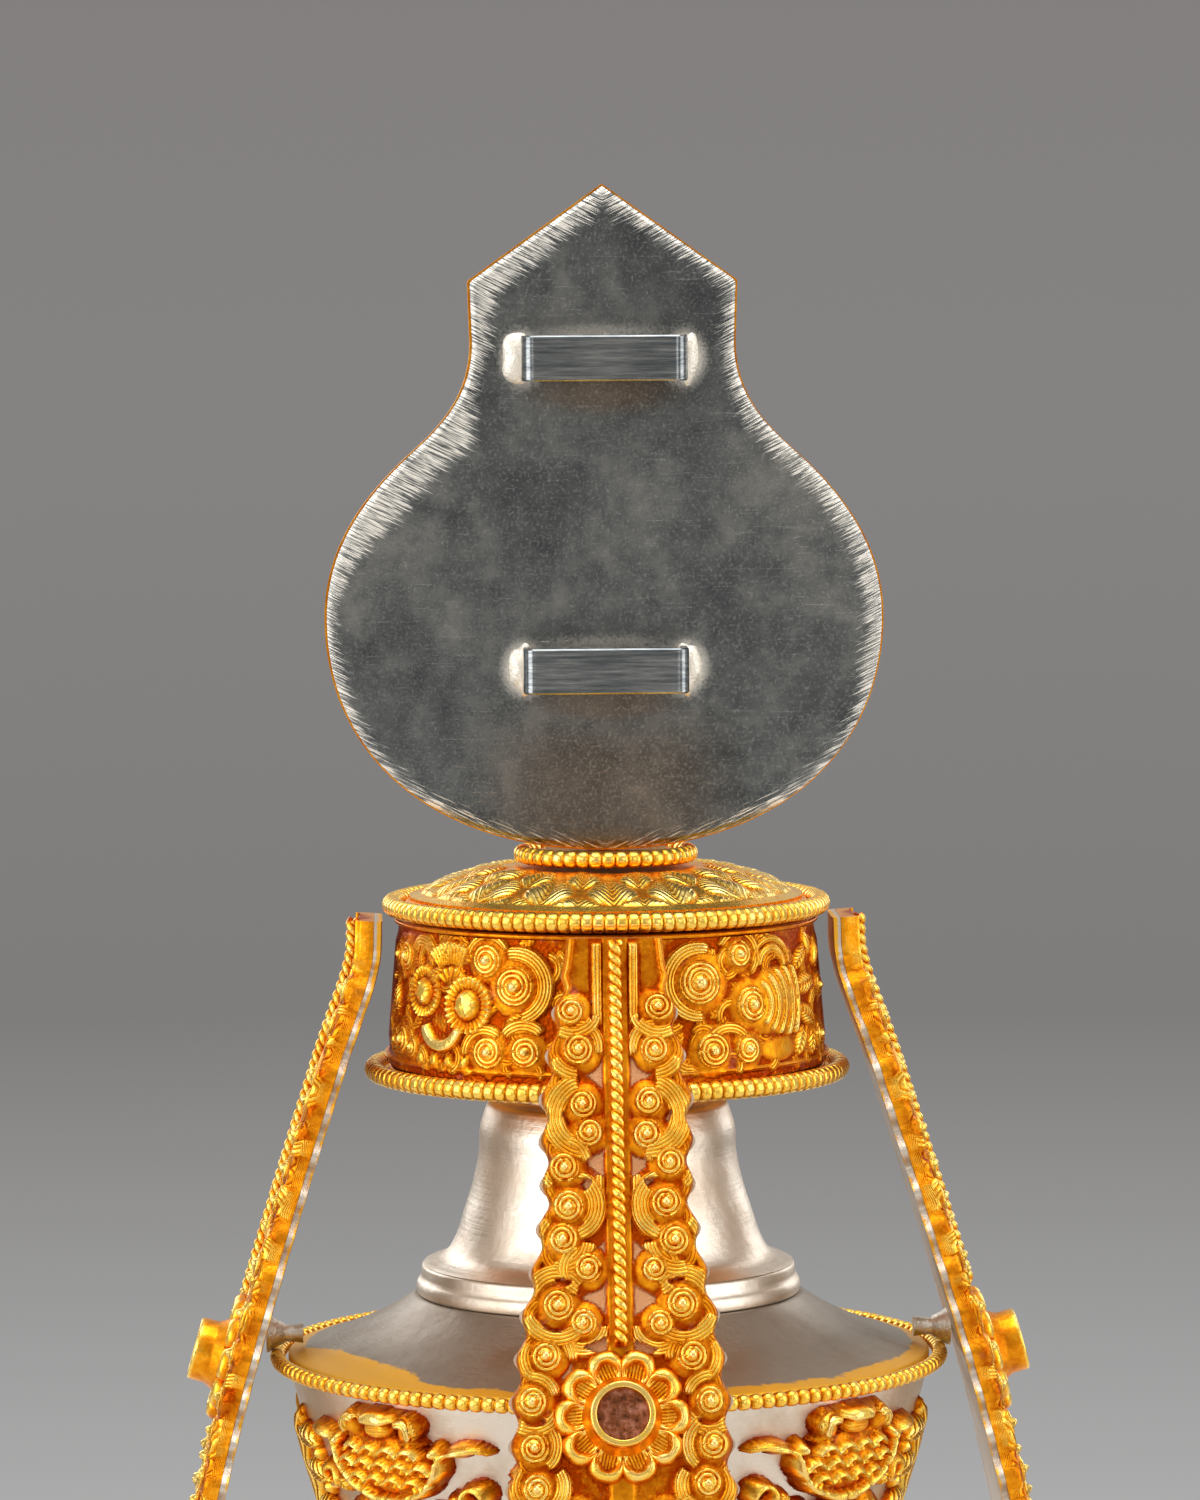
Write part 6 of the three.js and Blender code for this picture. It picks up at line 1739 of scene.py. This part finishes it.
class VASE_OT_strap_twists(bpy.types.Operator):
    """Twisted wires down the middle of the straps"""

    bl_idname = "vase.strap_twists"
    bl_label = "Twisted wires"

    def execute(self, context):
        radius = 0.72
        line = on_strap(np.linspace(gap, SETTING_DROP - 6.3 - gap, 200), 0.0, STRAP_FACE + 0.2 + radius)
        route = bpy.data.meshes.new("route")
        route.from_pydata((line * MM).tolist(), [(i, i + 1) for i in range(len(line) - 1)], [])
        twist = grown(
            "strap_twist_1", route, twisted_wire_tree(), Wire_Radius=radius * MM,
            Strand_Pitch=sizes().strand_pitch, Step=0.16 * MM, Material=finish("burnished_gilt_wire"))
        four_round(twist, "strap_wire")
        return {"FINISHED"}


def rosette_petal():
    """One cupped petal of a rosette, along -Y from the middle, with a broad domed lip."""
    rows, columns = 28, 27
    inner, shoulder, outer = 3.3, 5.0, 6.55
    root, widest = 1.02, 1.78
    radius = inner + (outer - inner) * np.sin(np.linspace(0, 1, rows) * math.pi / 2)[:, None]
    side = np.linspace(-1, 1, columns)[None, :]
    end = np.clip(radius - shoulder, 0, None) / (outer - shoulder)
    width = root + (widest - root) * smooth(radius, inner - 0.6, shoulder)
    width = np.where(radius > shoulder, widest, width)
    across = side * width * (1 - end**2.6) ** 0.5
    from_edge = (1 - (np.abs(across / width) ** 2.4 + end**2.4) ** (1 / 2.4)) * width
    outwards = smooth(radius, inner + 0.3, shoulder + 0.3)
    lip_width = 0.45 + 0.80 * smooth(radius, shoulder - 0.9, outer - 0.6)
    lip = np.sqrt(np.clip(1 - ((from_edge - lip_width * 0.75) / (lip_width * 0.8)) ** 2, 0, 1))
    cup = 0.95 - 0.50 * smooth(radius, inner, inner + 1.1)
    height = 0.1 + np.maximum((0.85 + 0.55 * outwards) * lip, cup * smooth(from_edge, 0, 0.3))
    along = -radius + 0 * side
    front = np.stack([across, along, height], -1)
    back = np.stack([across, along, 0 * across - 0.12], -1)
    # Painted highlight on each petal's domed lip, painted shade in its cup
    values = {
        "tone": np.clip(0.30 + 0.52 * lip * smooth(from_edge, 0, 0.4), 0, 1),
        "line": (across - 0.1 * radius) / (engraving() * 0.95),
        "cut": smooth(lip, 0.75, 0.4) * smooth(from_edge, 0.3, 0.5)}
    return sheet_piece("rosette_petal", front, back, "fire_gilding", values, crease=75)


class VASE_OT_settings(bpy.types.Operator):
    """Rosettes with empty round settings and what is left of their paste"""

    bl_idname = "vase.settings"
    bl_label = "Rosettes and settings"

    def execute(self, context):
        count = sizes().rosette_petals
        petals = ringed(copies_round_axis_tree(), "rosette", rosette_petal(), count, math.pi / count)
        disc = rings_of(eased([
            (0, -0.1), (5.4, -0.1), (5.2, 0.1), (4.1, 0.3), (3.75, 0.95), (3.4, 1.3), (0, 1.3)], 0.3), 64)
        # Painted light on the hub: darker low down, lighter towards its top
        tone = smooth(disc[..., 2], 0.3, 1.2) * 0.75
        hub = turned_piece("hub", disc, "fire_gilding", {"tone": tone}, weld=True)
        rosette = joined("strap_rosette_1", petals, hub)
        outer, seat, tall, floor = 3.15, 2.5, 2.9, 0.8
        cup = rings_of(eased([
            (0, 0), (outer + 0.65, 0), (outer + 0.4, 0.35), (outer, 1.1), (outer, tall - 0.25),
            (outer - 0.12, tall), (seat, tall), (seat - 0.1, floor), (0, floor)], 0.14), 72)
        # Painted highlight on the setting's top rim
        tone = 0.34 + 0.5 * smooth(cup[..., 2], tall - 0.5, tall - 0.1)
        setting = turned_piece("strap_setting_1", cup, "fire_gilding", {"tone": tone}, weld=True)
        # The paste: an uneven disc in the cup's floor
        rows, columns = 16, 56
        reach = np.linspace(1, 0, rows)[:, None] * (seat + 0.02)
        turn = np.arange(columns)[None, :] / columns * math.tau
        lumps = soften(np.random.default_rng(4).normal(0, 1, (rows, columns)), 1, True)
        lumps = lumps / np.abs(lumps).max()
        level = floor + 0.25 + 0.35 * lumps * smooth(reach, 0, 0.5) + 0.25 * (reach / seat) ** 3
        disc = np.concatenate([
            np.stack([away * np.cos(turn), away * np.sin(turn), height], -1)
            for away, height in ((reach, level), (reach[::-1], 0 * level + floor - 0.2))])
        paste = turned_piece("setting_residue_1", disc, "setting_paste", weld=True)
        _, outwards, up = follow(strap_line, drum_top - SETTING_DROP)
        turned = Vector((0, 0, 1)).rotation_difference(Vector((0, -outwards, up))).to_matrix().to_4x4()
        for piece, proud, node in (
                (rosette, gap, "strap_flower"), (setting, gap * 2 + 1.0, "strap_bezel"),
                (paste, gap * 2 + 1.0, None)):
            place = Matrix.Translation(on_strap(SETTING_DROP, 0.0, STRAP_FACE + proud) * MM)
            piece.data.transform(place @ turned)
            four_round(piece, node)
        return {"FINISHED"}


def ornament_work(across, drop, relief):
    """A scaled jewel with horns, under a flat cap on a block, among rings, curls and beads."""
    work = Relief(across, -drop, relief)
    # The cap with its turned-up rim, the block under it and the ribbed curls at both sides
    work.boss(0, -1.45, 3.0, 0.62, 0.95, flat=8)
    work.boss(0, -1.0, 3.05, 0.22, 1.15, flat=6)
    work.boss(0, -2.6, 2.0, 0.9, 0.72, flat=6, cut=0.3)
    pair(work.boss, (3.9, -2.5, 1.7, 1.25, 0.7, 0.5))
    pair(work.coil, (3.6, -2.4, 0.3, 1.5, -60, 150, 0.9))
    # The jewel: a swelling field with three rows of scales
    work.boss(0, -6.4, 6.6, 3.6, 0.62, flat=3)
    for level, count in ((-5.1, 4), (-6.6, 5), (-8.1, 4)):
        for x in 2.5 * (np.arange(count) - (count - 1) / 2):
            work.bow((x - 1.2, level), (x + 1.2, level), 0.85, 0.62, 0.95, taper=0.3, lines=0)
            work.boss(x, level, 0.6, 0.4, 0.8)
    # Its smooth rim, from horn to horn
    arc = [(7.0 * math.cos(t), -4.9 - 4.6 * math.sin(t)) for t in np.linspace(0.05, math.pi - 0.05, 7)]
    for first, second in zip(arc, arc[1:]):
        work.bow(first, second, 0.35, 1.25, 0.98, taper=0.1, lines=0)
    # The horns with the buds inside them, the rings, and the petals and curls beside the pendant
    pair(work.bow, ((7.0, -5.2), (12.4, -4.3), 0.9, 1.15, 0.82, 0.45, 0.3))
    pair(work.boss, (6.6, -4.3, 0.9, 0.8, 0.9), (9.9, -8.7, 2.15, 1.5, 0.72, 0.35, 4))
    pair(work.leaf, (2.0, -3.4, -10, 3.6, 1.2, 0.6, 0.75, 0.3), (8.2, -4.6, 20, 3.4, 1.6, 0.8, 0.75, 0.2),
         (6.2, -9.9, 25, 3.2, 1.7, 0.66, 0.75, 0.5), (6.4, -14.0, -60, 3.2, 1.9, 0.6),
         (3.4, -19.0, -75, 3.0, 1.5, 0.5))
    pair(work.scroll, (4.9, -12.2, 1.7, 0.85), (7.2, -12.6, 1.2, 0.7, -1), (2.7, -17.2, 1.35, 0.7))
    pair(work.boss, *((5.9 - k * 1.15, -15.6 - k * 1.3, 0.75, 0.7, 0.62) for k in range(4)))
    # The pendant and the hanging drop
    work.leaf(0, -9.9, -90, 5.2, 4.8, 0.9, blunt=0.7, ribs=0.5)
    work.boss(0, -16.4, 1.5, 1.4, 0.85)
    for k in range(3):
        work.boss(0, -18.6 - 1.4 * k, 1.0 - 0.1 * k, 0.72, 0.68)
    work.leaf(0, -21.9, -90, 4.6, 2.3, 0.62)
    # The holes in the rings
    hole = smooth(np.hypot((np.abs(across) - 9.9) * 0.8, (drop - 8.7) * 1.2), 0.85, 0.4)
    work.height = work.height - 0.6 * relief * hole
    raised = smooth(work.height, relief * 0.12, relief * 0.34)
    work.height = np.maximum(work.height, 0)
    return work, raised


class VASE_OT_belly_ornaments(bpy.types.Operator):
    """Gilt ornaments on the belly between the straps, and the leaves behind the straps"""

    bl_idname = "vase.belly_ornaments"
    bl_label = "Belly ornaments"

    def execute(self, context):
        relief = sizes().ornament_relief / MM
        step = 0.2
        drop, across = np.meshgrid(np.arange(0.6, 28.2, step), np.arange(-13.0, 13.01, step), indexing="ij")
        work, raised = ornament_work(across, drop, relief)
        ornament = self.cut_out("belly_ornament_1", work, raised, drop, across, 0.85)
        ornament.data.transform(Matrix.Rotation(math.pi / 4, 4, "Z"))
        four_round(ornament, "belly_mask")
        work = Relief(across, -drop, relief)
        for level, width in ((5.2, 2.6), (8.6, 2.9), (12.2, 2.7), (15.8, 2.5)):
            pair(work.leaf, (6.8, -level, -20, 4.4, width, 0.62))
            pair(work.boss, (10.2, -level - 2.4, 0.7, 0.7, 0.5))
        pair(work.bow, ((6.6, -3.6), (6.6, -18.0), -0.8, 1.6, 0.55))
        four_round(self.cut_out("belly_leaves_1", work, smooth(work.height, 0.1, 0.5), drop, across, 0.6))
        return {"FINISHED"}

    def cut_out(self, name, work, raised, drop, across, lift):
        """The part of a worked sheet that stands off the bowl, as a closed mesh on the bowl."""
        within = smooth(soften(raised, 2, False), 0.5, 0.96)
        proud = raised * lift + work.height * raised * (0.35 + 0.65 * within) - 0.25
        kept = proud > -0.2
        kept = kept[:-1, :-1] | kept[1:, :-1] | kept[:-1, 1:] | kept[1:, 1:]
        values = work.values(0.2, float(work.height.max()))
        # Painted shade at the ornament's outline and on its low parts
        values["tone"] = values["tone"] * (0.35 + 0.65 * raised) * (0.55 + 0.45 * within)
        points = []
        for off in (proud, -0.45):
            radius, level = off_belly(belly_top - drop, off)
            points.append(facing_points(radius, across / radius, level).reshape(-1, 3))
        quads = grid_faces(*drop.shape)[kept.ravel()]
        # An edge that only one quad has lies on the outline
        edges = {}
        for quad in quads.tolist():
            for a, b in zip(quad, quad[1:] + quad[:1]):
                if (b, a) in edges:
                    del edges[(b, a)]
                else:
                    edges[(a, b)] = True
        sides = np.array([(b, a, a + drop.size, b + drop.size) for a, b in edges])
        faces = np.concatenate([quads, quads[:, ::-1] + drop.size, sides])
        used, renumbered = np.unique(faces, return_inverse=True)
        values = padded({key: value.ravel() for key, value in values.items()}, 0, drop.size, 0.0)
        values = {key: value[used] for key, value in values.items()}
        faces = renumbered.reshape(faces.shape)
        return make_piece(name, np.concatenate(points)[used], faces, "fire_gilding", values, crease=80)


class VASE_OT_stage(bpy.types.Operator):
    """Pale floor, soft lamps, grey backdrop and the camera at the photograph's angle"""

    bl_idname = "vase.stage"
    bl_label = "Stage"

    def execute(self, context):
        stage = context.scene.vase_stage
        self.world(stage)
        self.floor(stage)
        self.lamps()
        self.camera(stage)
        context.scene.view_settings.view_transform = "Standard"
        return {"FINISHED"}

    def world(self, stage):
        world = bpy.data.worlds.new("studio")
        bpy.context.scene.world = world
        world.use_nodes = True
        add = partial(add_node, world.node_tree)
        direction = add("TexCoord", out="Generated")
        height = add("MapRange", add("SeparateXYZ", direction, out="Z"), -1.0, 1.0)
        # A grey sheet hangs behind the vase, and the rest of the room is pale
        grey_sheet = add("ValToRGB", height, stops=(
            (0.0, linear("#D2D1D0")), (0.40, linear("#B4B4B4")), (0.445, linear("#7F7D7C")),
            (0.49, stage.backdrop), (0.53, linear("#827F7E")), (0.56, linear("#C6C2BC")),
            (1.0, linear("#DAD8D6"))))
        walls = add("ValToRGB", height, stops=(
            (0.0, linear("#D2D1D0")), (0.42, linear("#BDB9B4")), (0.53, linear("#A8A49E")),
            (0.62, linear("#C6C2BC")), (1.0, linear("#DAD8D6"))))
        behind = add("MapRange", add("SeparateXYZ", direction, out="Y"), 0.84, 0.94)
        shade = add("Mix", behind, walls, grey_sheet, data_type="RGBA")
        set_input(world.node_tree, world.node_tree.nodes["Background"].inputs["Color"], shade)

    def floor(self, stage):
        fade, reach = 0.22, 0.36
        rings = rings_of([(0, -0.4), (100, -0.4), (fade / MM, -0.4), (290, -0.4), (reach / MM, -0.4)], 96)
        mesh = bpy.data.meshes.new("floor")
        quads = grid_faces(*rings.shape[:2], close_columns=True)
        mesh.from_pydata((rings.reshape(-1, 3) * MM).tolist(), [], quads.tolist())
        material, add, place = open_finish("painted_board")
        tree = material.node_tree
        tooth = add("TexNoise", Vector=place, Scale=per(1.5), Detail=3, Roughness=0.55)
        tint = add("Mix", add("MapRange", tooth, 0.3, 0.7, 0.0, 0.08), stage.floor, (0.5, 0.5, 0.5, 1.0),
                   data_type="RGBA")
        board = tree.nodes["Principled BSDF"]
        set_input(tree, board.inputs["Base Color"], tint)
        set_input(tree, board.inputs["Roughness"], 0.7)
        share = add("MapRange", add("VectorMath LENGTH", place), fade, reach)
        faded = add("MixShader", share, board.outputs[0], add("BsdfTransparent"))
        set_input(tree, tree.nodes["Material Output"].inputs["Surface"], faded)
        mesh.materials.append(material)
        floor = bpy.data.objects.new("floor", mesh)
        bpy.context.scene.collection.objects.link(floor)

    def lamps(self):
        aim = Vector((0, 0, 0.13))
        # Name, place in metres, width and height in metres, brightness as a multiple of white
        for name, place, wide, tall, bright in (
                ("left_softbox", (-0.75, -0.35, 0.30), 0.55, 0.80, 2.6),
                ("right_softbox", (0.80, -0.25, 0.26), 0.45, 0.80, 2.0),
                ("top_softbox", (0.05, -0.10, 0.85), 0.70, 0.60, 3.0),
                ("front_left_softbox", (-0.42, -0.80, 0.42), 0.22, 0.45, 2.0),
                ("front_right_softbox", (0.48, -0.80, 0.34), 0.22, 0.45, 1.7),
                ("low_front_softbox", (0.0, -0.70, -0.15), 0.80, 0.20, 1.2),
                ("back_left_softbox", (-0.45, 0.70, 0.40), 0.45, 0.55, 2.0),
                ("back_right_softbox", (0.55, 0.65, 0.35), 0.40, 0.55, 1.8)):
            lamp = bpy.data.lights.new(name, "AREA")
            lamp.shape = "RECTANGLE"
            lamp.size, lamp.size_y = wide, tall
            lamp.energy = bright * math.pi * wide * tall
            holder = bpy.data.objects.new(name, lamp)
            holder.location = place
            holder.rotation_euler = (aim - Vector(place)).to_track_quat("-Z", "Y").to_euler()
            holder.visible_camera = False
            bpy.context.scene.collection.objects.link(holder)

    def camera(self, stage):
        photo_height, focal_pixels, sensor = 1500, 6516, 36.0
        data = bpy.data.cameras.new("photo_camera")
        data.sensor_width = sensor
        data.lens = sensor * focal_pixels / photo_height
        data.clip_start, data.clip_end = 0.01, 20.0
        camera = bpy.data.objects.new("photo_camera", data)
        level = Matrix.Rotation(math.pi / 2 - stage.camera_pitch, 4, "X")
        roll = Matrix.Rotation(stage.camera_roll, 4, "Z")
        place = Matrix.Translation((-stage.camera_aside, -stage.camera_distance, stage.camera_height))
        turn = Matrix.Rotation(-stage.camera_turn, 4, "Z")
        camera.matrix_world = turn @ place @ level @ roll
        bpy.context.scene.collection.objects.link(camera)
        bpy.context.scene.camera = camera


OPERATORS = (
    VASE_OT_stage, VASE_OT_turned_silver, VASE_OT_beaded_wires, VASE_OT_lotus_foot, VASE_OT_calyx,
    VASE_OT_drum, VASE_OT_lid, VASE_OT_plaque_back, VASE_OT_plaque_loops, VASE_OT_plaque_face,
    VASE_OT_strap_faces, VASE_OT_strap_linings, VASE_OT_strap_twists, VASE_OT_settings,
    VASE_OT_belly_ornaments)


class VASE_PT_panel(bpy.types.Panel):
    """Lists the vase's pieces in the order in which they are made"""

    bl_label = "Long-life vase"
    bl_space_type = "VIEW_3D"
    bl_region_type = "UI"
    bl_category = "Vase"

    def draw(self, context):
        for operator in OPERATORS:
            self.layout.operator(operator.bl_idname)
        for group in (context.scene.vase_sizes, context.scene.vase_colours, context.scene.vase_stage):
            for name in group.__annotations__:
                self.layout.prop(group, name)


GROUPS = {"vase_sizes": VaseSizes, "vase_colours": VaseColours, "vase_stage": VaseStage}


def register():
    for group in (*GROUPS.values(), *OPERATORS, VASE_PT_panel):
        bpy.utils.register_class(group)
    for name, group in GROUPS.items():
        setattr(bpy.types.Scene, name, bpy.props.PointerProperty(type=group))


def unregister():
    for name in GROUPS:
        delattr(bpy.types.Scene, name)
    for group in (VASE_PT_panel, *OPERATORS[::-1], *list(GROUPS.values())[::-1]):
        bpy.utils.unregister_class(group)


def main():
    register()
    for operator in OPERATORS:
        group, name = operator.bl_idname.split(".")
        getattr(getattr(bpy.ops, group), name)()


if __name__ == "__main__":
    main()
